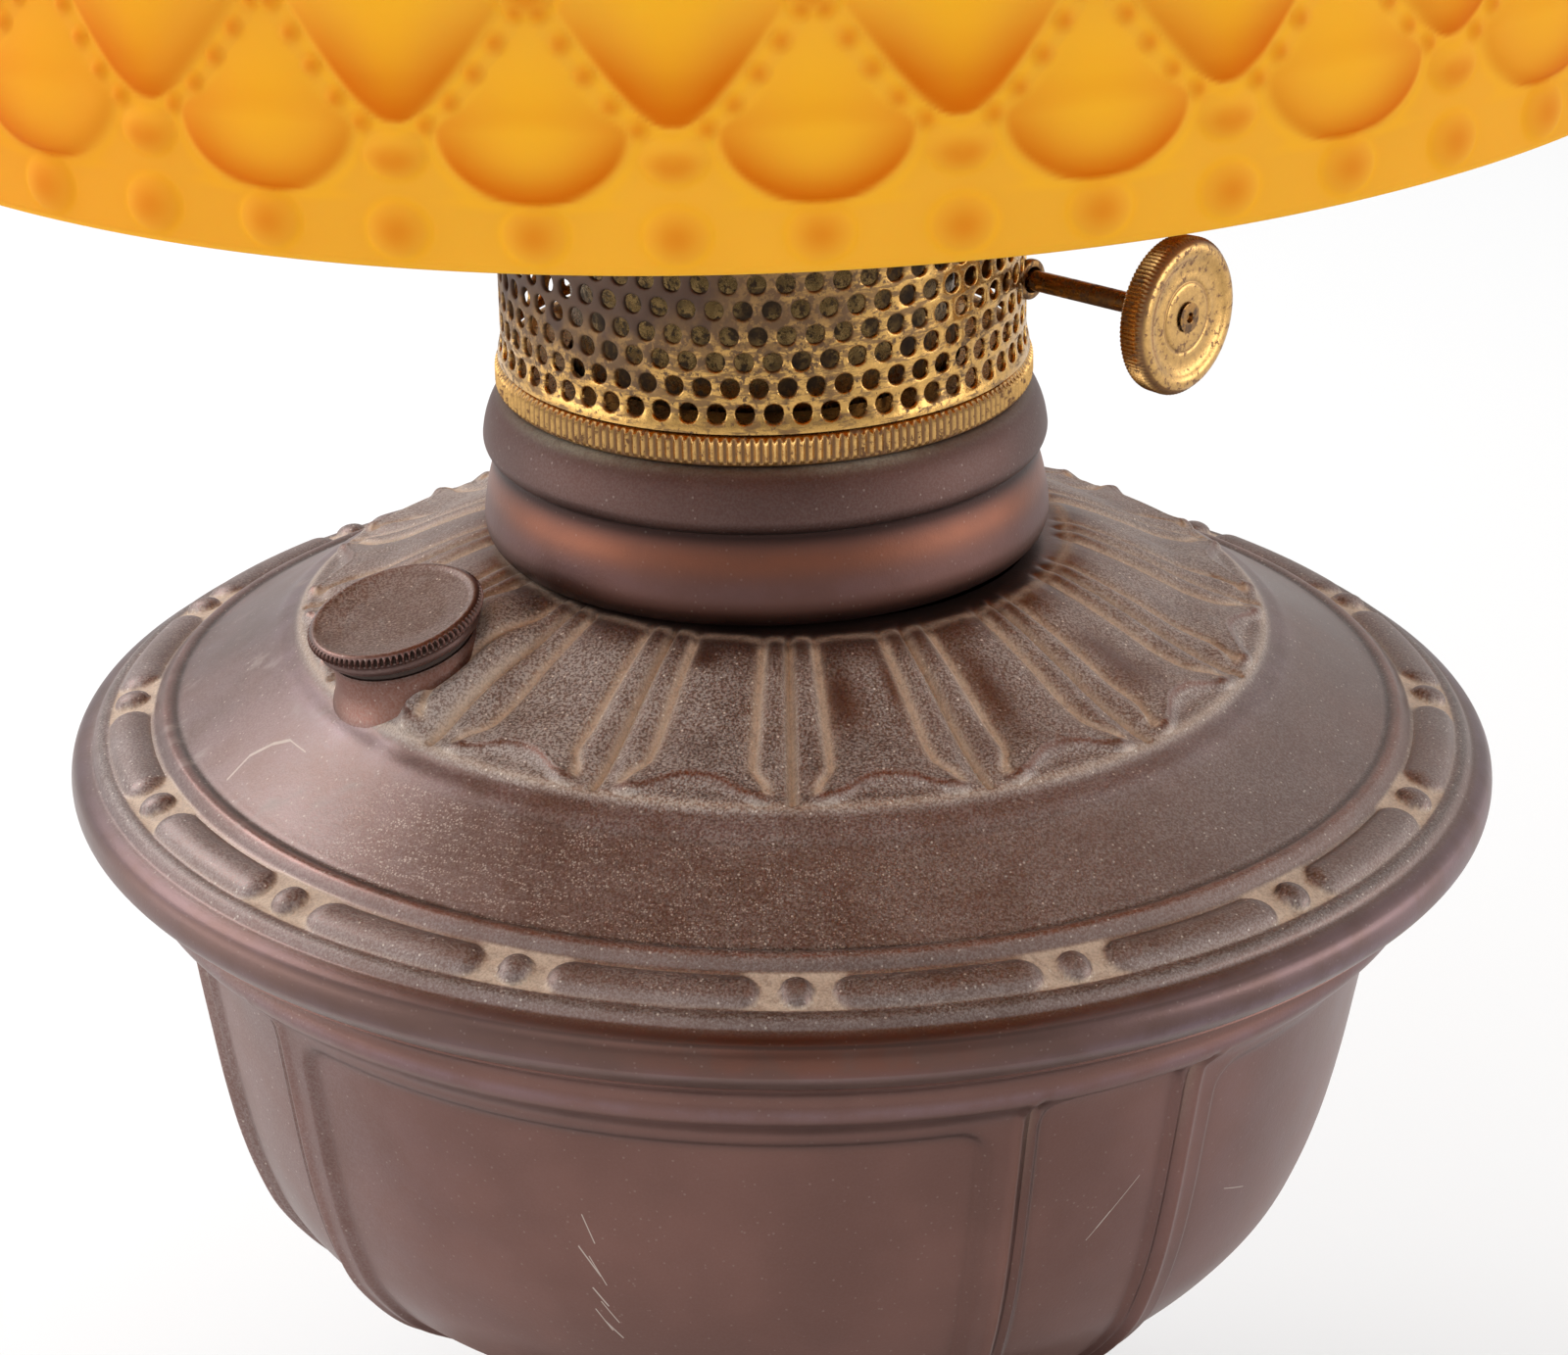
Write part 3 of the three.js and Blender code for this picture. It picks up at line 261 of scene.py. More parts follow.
# ---------------------------------------------------------------- materials
class Paint:
    """A node material under construction: each call adds one node and returns its output."""

    def __init__(self, name):
        self.material = bpy.data.materials.new(name)
        self.material.use_nodes = True
        self.tree = self.material.node_tree
        self.tree.nodes.clear()
        self.place = self.add("ShaderNodeTexCoord", output="Object")

    def add(self, kind, inputs=None, output=0, **settings):
        made = self.tree.nodes.new(kind)
        for key, value in settings.items():
            setattr(made, key, value)
        for key, value in (inputs or {}).items():
            if isinstance(value, bpy.types.NodeSocket):
                self.tree.links.new(value, made.inputs[key])
            else:
                made.inputs[key].default_value = value
        return made.outputs[output] if made.outputs else made

    def noise(self, size, detail=3.0, roughness=0.55, stretch=None, turn=0.0):
        """Noise from 0 to 1 whose features are about size across, drawn out along the axes by the
        factors in stretch and then turned about Z by some degrees."""
        place = self.place
        if stretch:
            inputs = {"Vector": place, "Scale": stretch, "Rotation": (0, 0, math.radians(turn))}
            place = self.add("ShaderNodeMapping", inputs, vector_type="TEXTURE")
        inputs = {"Vector": place, "Scale": 1 / (size * MM), "Detail": detail,
                  "Roughness": roughness}
        return self.add("ShaderNodeTexNoise", inputs)

    def grains(self, size):
        """Distance from the nearest of the middles of grains that are about size apart."""
        inputs = {"Vector": self.place, "Scale": 1 / (size * MM)}
        return self.add("ShaderNodeTexVoronoi", inputs, output="Distance")

    def between(self, value, low, high, low_to=0.0, high_to=1.0):
        """A smooth step from low_to at low to high_to at high."""
        inputs = {"Value": value, "From Min": low, "From Max": high, "To Min": low_to,
                  "To Max": high_to}
        return self.add("ShaderNodeMapRange", inputs, interpolation_type="SMOOTHSTEP")

    def math(self, operation, a, b=0.0):
        return self.add("ShaderNodeMath", {0: a, 1: b}, operation=operation, use_clamp=False)

    def times(self, *values):
        made = values[0]
        for value in values[1:]:
            made = self.math("MULTIPLY", made, value)
        return made

    def mix(self, share, a, b):
        """Colour a, going over to colour b by the share."""
        a, b = ((*colour, 1) if isinstance(colour, tuple) else colour for colour in (a, b))
        inputs = {0: share, 6: a, 7: b}
        return self.add("ShaderNodeMix", inputs, output=2, data_type="RGBA")

    def layer(self, name):
        return self.add("ShaderNodeAttribute", output="Fac", attribute_name=name)

    def bump(self, height, depth, strength):
        inputs = {"Height": height, "Distance": depth * MM, "Strength": strength}
        return self.add("ShaderNodeBump", inputs)

    def scratch(self, start, end, width):
        """1 on a thin straight mark on the front, given by its ends' x and height in millimetres."""
        start, end = (Vector((x, 0, height)) * MM for x, height in (start, end))
        along = end - start
        flat = self.add("ShaderNodeVectorMath", {0: self.place, 1: (1, 0, 1)}, operation="MULTIPLY")
        away = self.add("ShaderNodeVectorMath", {0: flat, 1: start}, operation="SUBTRACT")
        gone = self.add("ShaderNodeVectorMath", {0: away, 1: along / along.length_squared}, 1,
                        operation="DOT_PRODUCT")
        share = self.add("ShaderNodeClamp", {"Value": gone})
        nearest = self.add("ShaderNodeVectorMath", {0: along, "Scale": share}, operation="SCALE")
        off = self.add("ShaderNodeVectorMath", {0: away, 1: nearest}, 1, operation="DISTANCE")
        front = self.add("ShaderNodeSeparateXYZ", {0: self.place}, output=1)
        on_mark = self.between(off, width * MM, width * MM * 0.4)
        return self.times(on_mark, self.math("LESS_THAN", front, 0.0))

    def finish(self, **inputs):
        """The shader's sockets by name, with underscores for spaces."""
        named = {key.replace("_", " "): value for key, value in inputs.items()}
        if isinstance(named["Base Color"], tuple):
            named["Base Color"] = (*named["Base Color"], 1)
        shader = self.add("ShaderNodeBsdfPrincipled", named)
        self.add("ShaderNodeOutputMaterial", {"Surface": shader})
        return self.material


def dress(piece, material, body, slot, *nodes):
    """Gives a piece its material and body, and hides the nodes that it stands for. Its slot is
    not used.
    """
    piece.data.materials.clear()
    piece.data.materials.append(material)
    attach(piece, body)
    if nodes:
        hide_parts(*nodes)
    return piece


def shaded(colour, factor):
    return tuple(part * factor for part in colour)


def bronze_patina(name, brown, copper, dusting, packed_colour, patchy=0.65, marks=(), smooth=0.34):
    """Brown patinated stamping: faintly clouded, worn to copper on its ridges, with dust in its
    recesses, fine pale specks all over, and scuffed and smudged places. It also carries painted
    light: copper reflections, lilac sheen, shade in creases and under swells, and dust laid thicker
    on the lit side."""
    paint = Paint(name)
    cloud = paint.noise(26, 3, 0.55)
    patch = paint.noise(7, 4, 0.6)
    grain = paint.noise(0.34, 2, 0.6)
    coarse = paint.noise(1.5, 3, 0.65)
    colour = paint.mix(paint.between(cloud, 0.35, 0.68), shaded(brown, 1 - MOTTLE),
                       shaded(brown, 1 + MOTTLE))
    # Copper where the stamping is worn, and also painted copper for the amber shade's reflection on the
    # collar and the rim's front.
    copper_wear_and_reflection = paint.times(paint.layer("ridge"), paint.between(patch, 0.34, 0.58, 1 - patchy, 1))
    colour = paint.mix(copper_wear_and_reflection, colour, copper)
    # Lilac: patina, and also painted sheen where the layer is laid on the sides and edges.
    lilac = paint.times(paint.layer("bloom"), paint.between(patch, 0.36, 0.62, 0.4, 1))
    colour = paint.mix(lilac, colour, LILAC)
    # Painted shade: the dark layer darkens the brown in creases, notches, under swells and on the front.
    colour = paint.mix(paint.layer("dark"), colour, shaded(brown, 0.3))
    fleck = paint.between(paint.grains(0.6), 0.30, 0.12)
    sparse = paint.times(paint.between(paint.grains(1.25), 0.17, 0.09),
                         paint.between(coarse, 0.44, 0.52))
    cover = paint.math("ADD", paint.between(grain, 0.40, 0.60, 0.36, 0.95),
                       paint.times(fleck, 0.5))
    # The dust film; on the shoulder and the bowl its layer is also laid thicker on the left as painted
    # light.
    film = paint.times(paint.layer("dusty"), paint.between(patch, 0.34, 0.6, 0.8, 1.06), cover)
    scuff = paint.layer("scuff")
    streak = paint.noise(0.75, 3, 0.7, stretch=(5, 1, 1), turn=SCUFF_TURN)
    smear = paint.noise(5.0, 4, 0.62, stretch=(1, 2.6, 1), turn=SMEAR_TURN)
    smudge = paint.times(paint.layer("smudge"), paint.between(smear, 0.5, 0.72), 0.5)
    film = paint.times(film, paint.between(scuff, 0, 1, 1, 0.8))
    film = paint.math("MINIMUM", paint.math("MAXIMUM", film, smudge), 1.0)
    packed = paint.times(paint.layer("recess"), paint.between(coarse, 0.34, 0.56, 0.75, 1), dusting,
                         paint.between(grain, 0.36, 0.6, 0.76, 1))
    specks = paint.times(sparse, paint.math("ADD", paint.times(paint.layer("dusty"), 1.2), 0.06))
    rubbed = paint.times(scuff, paint.between(streak, 0.44, 0.6),
                         paint.between(paint.grains(0.36), 0.5, 0.2))
    specks = paint.math("MAXIMUM", specks, paint.times(rubbed, 0.5))
    for mark in marks:
        specks = paint.math("MAXIMUM", specks, paint.times(paint.scratch(*mark), 0.5))
    colour = paint.mix(film, colour, DUST)
    colour = paint.mix(packed, colour, packed_colour)
    colour = paint.mix(specks, colour, SPECKS)
    dust = paint.math("MAXIMUM", film, paint.math("MAXIMUM", packed, specks))
    rough = paint.math("ADD", paint.between(cloud, 0.3, 0.7, smooth, smooth + 0.08),
                       paint.times(dust, 0.4))
    rough = paint.math("SUBTRACT", rough, paint.times(copper_wear_and_reflection, 0.12))
    metal = paint.between(dust, 0.0, 0.9, 0.9, 0.0)
    height = paint.math("ADD", paint.times(grain, 0.5), paint.times(coarse, 0.5))
    return paint.finish(Base_Color=colour, Metallic=metal, Roughness=rough,
                        Normal=paint.bump(height, 0.1, 0.45))


def old_brass(name, gold, tarnish, amount, streaked=0.0):
    """Lacquered brass whose bright skin is worn and speckled with brown tarnish."""
    paint = Paint(name)
    cloud = paint.noise(7, 4, 0.6)
    spots = paint.noise(1.1, 4, 0.7)
    grain = paint.noise(0.3, 2, 0.5)
    stain = paint.math("ADD", paint.layer("stain"), paint.between(cloud, 0.45, 0.75, 0, amount))
    speckle = paint.between(paint.math("ADD", spots, paint.times(stain, 0.26)), 0.58, 0.70)
    covered = paint.math("MAXIMUM", paint.between(stain, 0.25, 1.0), paint.times(speckle, 0.85))
    covered = paint.math("MAXIMUM", covered, paint.times(paint.layer("recess"), 0.95))
    if streaked:
        drawn = paint.noise(0.9, 4, 0.7, stretch=(3.5, 3.5, 1))
        drawn = paint.between(paint.math("ADD", drawn, paint.times(stain, 0.2)), 0.5, 0.64)
        covered = paint.math("MAXIMUM", covered, paint.times(drawn, streaked))
    colour = paint.mix(paint.between(grain, 0.3, 0.7), gold, shaded(gold, 0.78))
    colour = paint.mix(paint.between(spots, 0.3, 0.62), colour, shaded(gold, 0.72))
    colour = paint.mix(covered, colour, tarnish)
    rough = paint.between(covered, 0, 1, 0.25, 0.6)
    height = paint.math("ADD", paint.times(spots, 0.7), paint.times(grain, 0.3))
    metal = paint.between(covered, 0, 1, 1, 0.6)
    return paint.finish(Base_Color=colour, Metallic=metal, Roughness=rough,
                        Normal=paint.bump(height, 0.08, 0.5))


def plain_metal(name, colour, roughness):
    """Drawn metal with faint streaks."""
    paint = Paint(name)
    streak = paint.noise(3, 4, 0.6, stretch=(1, 1, 0.17))
    grain = paint.noise(0.8, 3, 0.6)
    tone = paint.mix(paint.between(streak, 0.3, 0.7), colour, shaded(colour, 0.7))
    rough = paint.between(grain, 0.3, 0.7, roughness, roughness + 0.15)
    return paint.finish(Base_Color=tone, Metallic=1.0, Roughness=rough,
                        Normal=paint.bump(grain, 0.05, 0.3))


def plain_mould(name, colour, roughness):
    """Grained fibre, rubber or moulded phenolic."""
    paint = Paint(name)
    grain = paint.noise(0.6, 3, 0.6)
    tone = paint.mix(paint.between(grain, 0.3, 0.7), colour, shaded(colour, 1.4))
    return paint.finish(Base_Color=tone, Roughness=roughness, Normal=paint.bump(grain, 0.05, 0.4))


def amber_glass():
    """Satin amber glass: deeper where the relief turns down, pale on the puffed lobes; the deep
    colour also carries painted shade and the pale colour painted highlights.
    """
    paint = Paint("amber_glass")
    cloud = paint.noise(22, 2, 0.5)
    grain = paint.noise(0.3, 2, 0.5)
    colour = paint.mix(paint.between(cloud, 0.3, 0.7), AMBER_PLAIN, shaded(AMBER_PLAIN, 0.95))
    colour = paint.mix(paint.layer("pale"), colour, AMBER_PALE)
    colour = paint.mix(paint.layer("deep"), colour, AMBER_DEEP)
    return paint.finish(Base_Color=colour, Roughness=0.6, Specular_IOR_Level=0.06,
                        Subsurface_Weight=0.25, Subsurface_Radius=(1.0, 0.45, 0.12),
                        Subsurface_Scale=0.0025, Normal=paint.bump(grain, 0.02, 0.25))


def clear_glass():
    """Blown glass with a faint film."""
    paint = Paint("clear_glass")
    rough = paint.between(paint.noise(12, 3, 0.5), 0.3, 0.7, 0.02, 0.08)
    return paint.finish(Base_Color=(0.97, 0.97, 0.95), Roughness=rough, Transmission_Weight=1.0,
                        IOR=1.47)


# Lilac of the patina, also used as painted sheen
LILAC = (0.25, 0.175, 0.205)
DUST, PACKED_DUST, SPECKS = (0.475, 0.42, 0.39), (0.64, 0.50, 0.38), (0.74, 0.66, 0.58)
# Share by which the brown is paler and darker in its clouds, and ways of its scuffs and smudges
MOTTLE = 0.12
SCUFF_TURN, SMEAR_TURN = -25.0, -75.0
# The deep and pale amber also paint shade and highlights on the shade.
AMBER_PLAIN, AMBER_PALE = (0.90, 0.43, 0.032), (0.92, 0.45, 0.020)
AMBER_DEEP = (0.67, 0.158, 0.001)
BROWN = (0.152, 0.089, 0.074)
# Scratches on the bowl: x and height of both ends, and width
SCRATCHES = [((-25.6, 107.6), (-24.1, 103.2), 0.10), ((-26.2, 102.3), (-23.5, 97.8), 0.13),
             ((-24.9, 100.9), (-22.8, 96.4), 0.09), ((-24.6, 95.6), (-22.7, 92.8), 0.14),
             ((-23.6, 93.4), (-21.4, 90.0), 0.10), ((-24.4, 91.9), (-22.3, 88.4), 0.10),
             ((-23.2, 89.9), (-21.0, 87.2), 0.13), ((46.5, 106.3), (39.4, 98.2), 0.06),
             ((42.6, 101.9), (40.7, 99.7), 0.10), ((58.9, 96.6), (61.8, 94.6), 0.09)]
# A curved scratch on the shoulder
SHOULDER_SCRATCHES = [((-72.1, 151.0), (-69.2, 153.2), 0.07), ((-69.2, 153.2), (-66.0, 154.9), 0.09),
                      ((-66.0, 154.9), (-63.6, 155.9), 0.11), ((-63.6, 155.9), (-61.3, 155.9), 0.08)]
BRONZE = bronze_patina("bronze", BROWN, (0.22, 0.07, 0.038), 1.0, PACKED_DUST,
                       marks=SHOULDER_SCRATCHES)
BOWL_BRONZE = bronze_patina("bowl_bronze", (0.180, 0.092, 0.076), (0.22, 0.10, 0.07), 0.9,
                            PACKED_DUST, marks=SCRATCHES)
# Its copper also paints the amber shade's reflection on the collar's lower swell.
COPPER = bronze_patina("copper_bronze", (0.118, 0.061, 0.052), (0.235, 0.086, 0.048), 0.8,
                       (0.40, 0.39, 0.31), patchy=0.15, smooth=0.47)
BRASS = old_brass("brass", (0.68, 0.40, 0.14), (0.17, 0.083, 0.045), 0.4)
BASKET_BRASS = old_brass("basket_brass", (0.74, 0.43, 0.135), (0.10, 0.060, 0.042), 0.36,
                         streaked=0.66)
# A darker copy of the brass for the tube inside the basket: tarnish and painted shade seen through the
# holes.
INNER_BRASS_SHADED = old_brass("inner_brass_shaded", (0.34, 0.215, 0.085), (0.06, 0.04, 0.028), 0.7)
AGED_BRASS = old_brass("aged_brass", (0.42, 0.22, 0.07), (0.10, 0.055, 0.03), 0.5)
STEEL = plain_metal("steel", (0.52, 0.52, 0.53), 0.35)
FIBRE = plain_mould("fibre", (0.05, 0.035, 0.028), 0.8)
PHENOLIC = plain_mould("phenolic", (0.02, 0.018, 0.017), 0.35)
GASKET = plain_mould("gasket", (0.045, 0.028, 0.022), 0.7)
AMBER = amber_glass()
CLEAR = clear_glass()
FILAMENT = plain_metal("filament_glass", (0.75, 0.73, 0.68), 0.2)


# ---------------------------------------------------------------- shoulder of the font
PETALS = 16
PETAL_PITCH = 360 / PETALS
PETAL_PHASE = 0.5
COLUMNS_PER_PETAL = 84
CREST_INNER, CREST_OUTER, CREST_HALF = 60.9, 64.5, 8.0
CREST_ROW, CREST_RISE = 62.5, 0.85
SECOND_GROOVE = 4.8
BEAD_ROW, BEAD_RADIUS = 90.2, 2.45
BAR_START, BAR_END_ROUND = 4.3, 2.85
BEAD_HEIGHT, BAR_HEIGHT = 1.5, 1.25
SHOULDER_WALL = 1.2
# The filler's place on the shoulder, and the swelling to its right
FILLER_AZIMUTH, FILLER_PLACE = -58.5, 57.7
SWELL_WAY, SWELL_HEIGHT = (0.93, -0.37), 3.0
# Places rubbed free of dust: azimuth, radius, half-width and half-length
RUBBED = [(8.0, 49.0, 2.4, 5.5), (16.5, 47.5, 1.0, 4.5), (31.0, 51.0, 2.6, 6.0),
          (55.0, 53.0, 2.6, 5.0), (-14.0, 43.0, 2.0, 2.0)]
# Share of its dust that a rubbed place has lost
RUBBED_BARE = 0.8
# Radius and height above the shoulder's base, from the collar's seat to the bottom of the rim
SHOULDER_PATH = [
    (34.0, 36.75), (36.2, 36.7), (38.5, 36.4), (44.0, 34.5), (50.1, 31.7), (56.0, 28.7),
    (60.0, 27.0), (64.0, 25.7), (65.6, 25.4), (66.4, 24.9), (67.2, 24.15),
    (69.6, 22.75), (70.6, 21.95),
    (75.0, 18.9), (80.0, 15.8), (82.6, 14.3), (83.7, 13.75), (84.5, 13.9), (85.3, 13.75),
    (86.0, 13.1), (86.9, 12.1), (87.6, 11.8),
    (89.2, 11.3), (91.2, 10.65), (92.6, 10.1), (93.0, 10.05), (93.8, 10.0), (94.5, 9.7), (95.0, 9.2),
    (95.4, 8.55), (96.0, 8.3), (96.9, 7.85), (97.6, 7.3), (98.1, 6.5), (98.35, 5.4), (98.35, 4.2),
    (98.1, 3.2), (97.5, 2.3), (96.6, 1.4), (95.6, 0.6), (94.4, 0.05), (92.6, 0.0),
]
# Steps of the section's points beyond each radius on its way up
FINE_STEPS = [(58.0, 68.0, 0.2), (82.0, 99.0, 0.24)]
PLAIN_STEP = 0.5
# Radii where the petals end, where the slope starts and where the rolled rim starts
PETAL_END, SLOPE_START, RIM_START = 66.4, 67.4, 95.6


def from_second(radius, from_groove):
    """Degrees from the petal's second groove, which turns towards the first one near the tip."""
    return from_groove - SECOND_GROOVE + 1.9 * smoothstep(59.0, 64.0, radius)


def petal_relief(radius, from_groove):
    """Height of the petals over the plain shoulder, from_groove degrees from the nearest groove."""
    fade_in = smoothstep(36.5, 40, radius)
    width = np.degrees(1 / np.maximum(radius, 1))
    central = -1.0 * bell(from_groove, 0.55 * width) * fade_in
    central = central * smoothstep(PETAL_END, PETAL_END - 1, radius)
    body = smoothstep(64.2, 62.3, radius)
    second = -0.6 * bell(from_second(radius, from_groove), 0.65 * width) * fade_in
    second = second * smoothstep(64.5, 63.0, radius)
    rib = 0.45 * bell(from_groove - SECOND_GROOVE / 2, 1.3 * width) * fade_in * body
    leaf = 0.45 * smoothstep(SECOND_GROOVE, PETAL_PITCH / 2 - 1, from_groove) * fade_in * body
    dish = -0.4 * bell(from_groove - PETAL_PITCH / 2, 3.0) * fade_in
    dish = dish * smoothstep(42, 50, radius) * body
    return central + second + rib + leaf + dish


def crest_relief(row, from_middle):
    """The petal's tip: it rises to a crest with a thin edge and falls away to the leaf's outline."""
    strength = smoothstep(CREST_HALF + 2.2, CREST_HALF - 0.8, np.abs(from_middle))
    rise = CREST_RISE * smoothstep(54.0, CREST_ROW, row)
    rise = rise * smoothstep(CREST_ROW + 2.6, CREST_ROW, row)
    lip = 0.10 * bell(row - CREST_ROW + 0.05, 0.28)
    return strength * (rise + lip)


def border_relief(radius, from_bead):
    """Beads and long bars in the channel of the border."""
    across = from_bead / np.degrees(1 / radius)
    off_row = radius - BEAD_ROW
    from_bead = np.hypot(across * 1.12, off_row) / BEAD_RADIUS
    from_bar = np.hypot(np.clip(BAR_START + BAR_END_ROUND - np.abs(across), 0, None), off_row)
    bar = BAR_HEIGHT * np.clip(1 - (from_bar / BAR_END_ROUND) ** 2, 0, 1) ** 0.7
    return np.sqrt(np.clip(1 - from_bead ** 2, 0, 1)) * BEAD_HEIGHT + bar


def filler_swell(radius, azimuths):
    """The swelling of the stamping beside the filler's neck, up to the cap's edge."""
    turn, middle = np.radians(azimuths), math.radians(FILLER_AZIMUTH)
    off_x = radius * np.sin(turn) - FILLER_PLACE * math.sin(middle)
    off_y = -radius * np.cos(turn) + FILLER_PLACE * math.cos(middle)
    away = np.hypot(off_x, off_y)
    towards = (SWELL_WAY[0] * off_x + SWELL_WAY[1] * off_y) / np.maximum(away, 0.1)
    around = smoothstep(18.0, 11.0, away) * smoothstep(5.0, 9.0, away)
    return SWELL_HEIGHT * smoothstep(0.0, 0.85, towards) * around


def shoulder_section():
    """The section's points, closer together where the petals' tips and the border are."""
    path = spline(SHOULDER_PATH, 0.05)
    step = np.full(len(path), PLAIN_STEP)
    for low, high, fine in FINE_STEPS:
        step[(path[:, 0] > low) & (path[:, 0] < high) & (path[:, 1] > 0.3)] = fine
    gone = np.concatenate([[0], np.cumsum(np.diff(lengths_along(path)) / step[1:])])
    at = np.linspace(0, gone[-1], int(gone[-1]) + 1)
    return np.stack([np.interp(at, gone, values) for values in path.T], -1)[::-1]


def leaf_places(path, from_middle):
    """The radius on the plain shoulder at each point, when the rows are drawn along the petals'
    outline; that outline's row is CREST_ROW. Returns it with the distance along the path."""
    rows = path[:, 0][:, None] * np.ones((1, from_middle.size))
    lengths = lengths_along(path)
    sideways = np.abs(from_middle)
    outward = smoothstep(0, 1, sideways / CREST_HALF) ** 1.3
    crest = CREST_INNER + (CREST_OUTER - CREST_INNER) * outward
    crest = crest - 1.6 * smoothstep(CREST_HALF, PETAL_PITCH / 2, sideways)
    pull = smoothstep(51, CREST_ROW - 1, rows) * smoothstep(67.0, CREST_ROW + 1, rows)
    wanted = rows + pull * (crest - CREST_ROW) * (path[:, 0] < 70)[:, None]
    top = path[:, 0] < 80
    order = np.argsort(path[top, 0])
    at = np.interp(wanted, path[top, 0][order], lengths[top][order])
    top = top[:, None]
    return rows, np.where(top, wanted, rows), np.where(top, at, lengths[:, None]), top


def shoulder_layers(rows, place, azimuths, from_groove, from_middle, channel, height):
    """Where the shoulder has dust, worn copper and lilac patina, and where light is painted on it:
    shade, copper reflections, lilac sheen and dust laid thicker on the lit side.
    """
    high_up = (height > 7.0)[:, None]
    turn = np.radians(azimuths)
    front = 0.5 + 0.5 * np.cos(turn)[None]
    left, right = (np.clip(way * np.sin(turn), 0, 1)[None] for way in (-1, 1))
    middle = bell(fold(azimuths, 360, 2.0), 16.0)[None]
    width = np.degrees(1 / np.maximum(place, 1))
    off_second = from_second(place, from_groove)
    second = bell(off_second, 0.55 * width) + 0.35 * bell(off_second, 1.2 * width)
    lines = bell(from_groove, 0.62 * width) + 0.2 * bell(from_groove, 1.3 * width)
    lines = lines + second * smoothstep(65.2, 64.2, place)
    lines = np.minimum(lines, 1) * smoothstep(38.5, 41, place)
    lines = lines * smoothstep(PETAL_END + 0.2, PETAL_END - 0.8, place)
    lines = np.maximum(lines, 0.42 * bell(place - PETAL_END + 0.2, 0.55))
    lines = np.maximum(lines, 0.6 * bell(place - 39.0, 0.9))
    in_channel = smoothstep(86.6, 87.1, rows) * smoothstep(93.3, 92.9, rows) * high_up
    bare = np.clip(1 - channel / 0.5, 0, 1)
    from_bead = np.abs(fold(azimuths, PETAL_PITCH, PETAL_PHASE)) / np.degrees(1 / rows)
    beside = smoothstep(BAR_START + 3.2, BAR_START + 0.6, from_bead)
    recess = np.where(rows > 80, in_channel * bare * (0.25 + 0.65 * beside), lines)
    rim = smoothstep(RIM_START, RIM_START + 1, rows) * (height > 3.5)[:, None]
    at_lip = bell(rows - CREST_ROW - 0.6, 0.5) * (rows < 70)
    at_lip = at_lip * smoothstep(9.5, 7.5, np.abs(from_middle))
    ridge = np.maximum(0.6 * at_lip, 0.7 * bell(rows - 85.0, 0.6) * high_up)
    # Painted reflection: copper on the middle of the rim's front.
    ridge = np.maximum(ridge, 0.55 * rim * middle)
    # Painted sheen: lilac on the rim's sides and right, on the rim's lower edge, and below the petals, most
    # on the left.
    bloom = rim * (0.08 + 0.22 * (1 - front) + 0.3 * right) * (1 - middle)
    below_petals = smoothstep(66.5, 68, rows) * high_up
    bloom = bloom + (0.22 * left + 0.3 * bell(rows - 68.6, 1.8)) * below_petals
    edge = bell(height - 3.4, 0.9)[:, None] * (rows > 97)
    bloom = bloom + 0.6 * edge * (0.35 + 0.65 * bell(fold(azimuths, 360, 36.0), 16.0)[None])
    # Painted shade: dark bands in the grooves on either side of the border, on the rim's roll and its
    # front, and below the petals at the front.
    dark = 0.7 * bell(rows - 83.7, 0.45) * high_up + 0.6 * bell(rows - 94.2, 0.5) * high_up
    in_front = smoothstep(50, 25, np.abs(fold(azimuths, 360)))[None]
    dark = dark + 0.3 * bell(rows - 70.7, 0.35) * in_front
    dark = dark + (0.25 + 0.35 * middle) * bell(rows - 97.0, 1.1) * high_up
    dark = dark + 0.34 * rim * (rows > 97.4) * smoothstep(0.75, 1.0, front)
    on_petals = smoothstep(38, 46, place) * smoothstep(SLOPE_START, PETAL_END, place)
    on_slope = smoothstep(PETAL_END, SLOPE_START, place) * smoothstep(87, 85, rows)
    on_border = smoothstep(85, 88, rows) * smoothstep(97, 94, rows) * high_up
    # Painted light: more dust on the petals and border on the left, a little more on the right, and less on
    # the slope's sides.
    on_left = left * smoothstep(1.0, 0.75, left)
    dusty = on_petals * (0.68 + 0.55 * on_left + 0.14 * right) * (1 - 0.6 * at_lip)
    dusty = dusty + on_slope * (0.46 - 0.28 * left - 0.2 * right) + on_border * (0.40 + 0.06 * left)
    for azimuth, radius, half_width, half_length in RUBBED:
        off = fold(azimuths, 360, azimuth)[None] / np.degrees(half_width / radius)
        spot = np.exp(-(off ** 2) - ((place - radius) / half_length) ** 2)
        dusty = dusty * (1 - RUBBED_BARE * spot)
    around = fold(azimuths, 360)[None]
    scuffed = smoothstep(-50, -42, around) * smoothstep(34, -4, around)
    scuff = smoothstep(70.4, 71.4, rows) * smoothstep(85.5, 83, rows) * high_up * scuffed
    smudge = 0.8 * on_slope * smoothstep(0.55, 0.8, left)
    return dict(recess=recess, ridge=ridge, bloom=np.clip(bloom, 0, 1), dusty=dusty,
                dark=np.clip(dark, 0, 1), scuff=scuff, smudge=smudge)


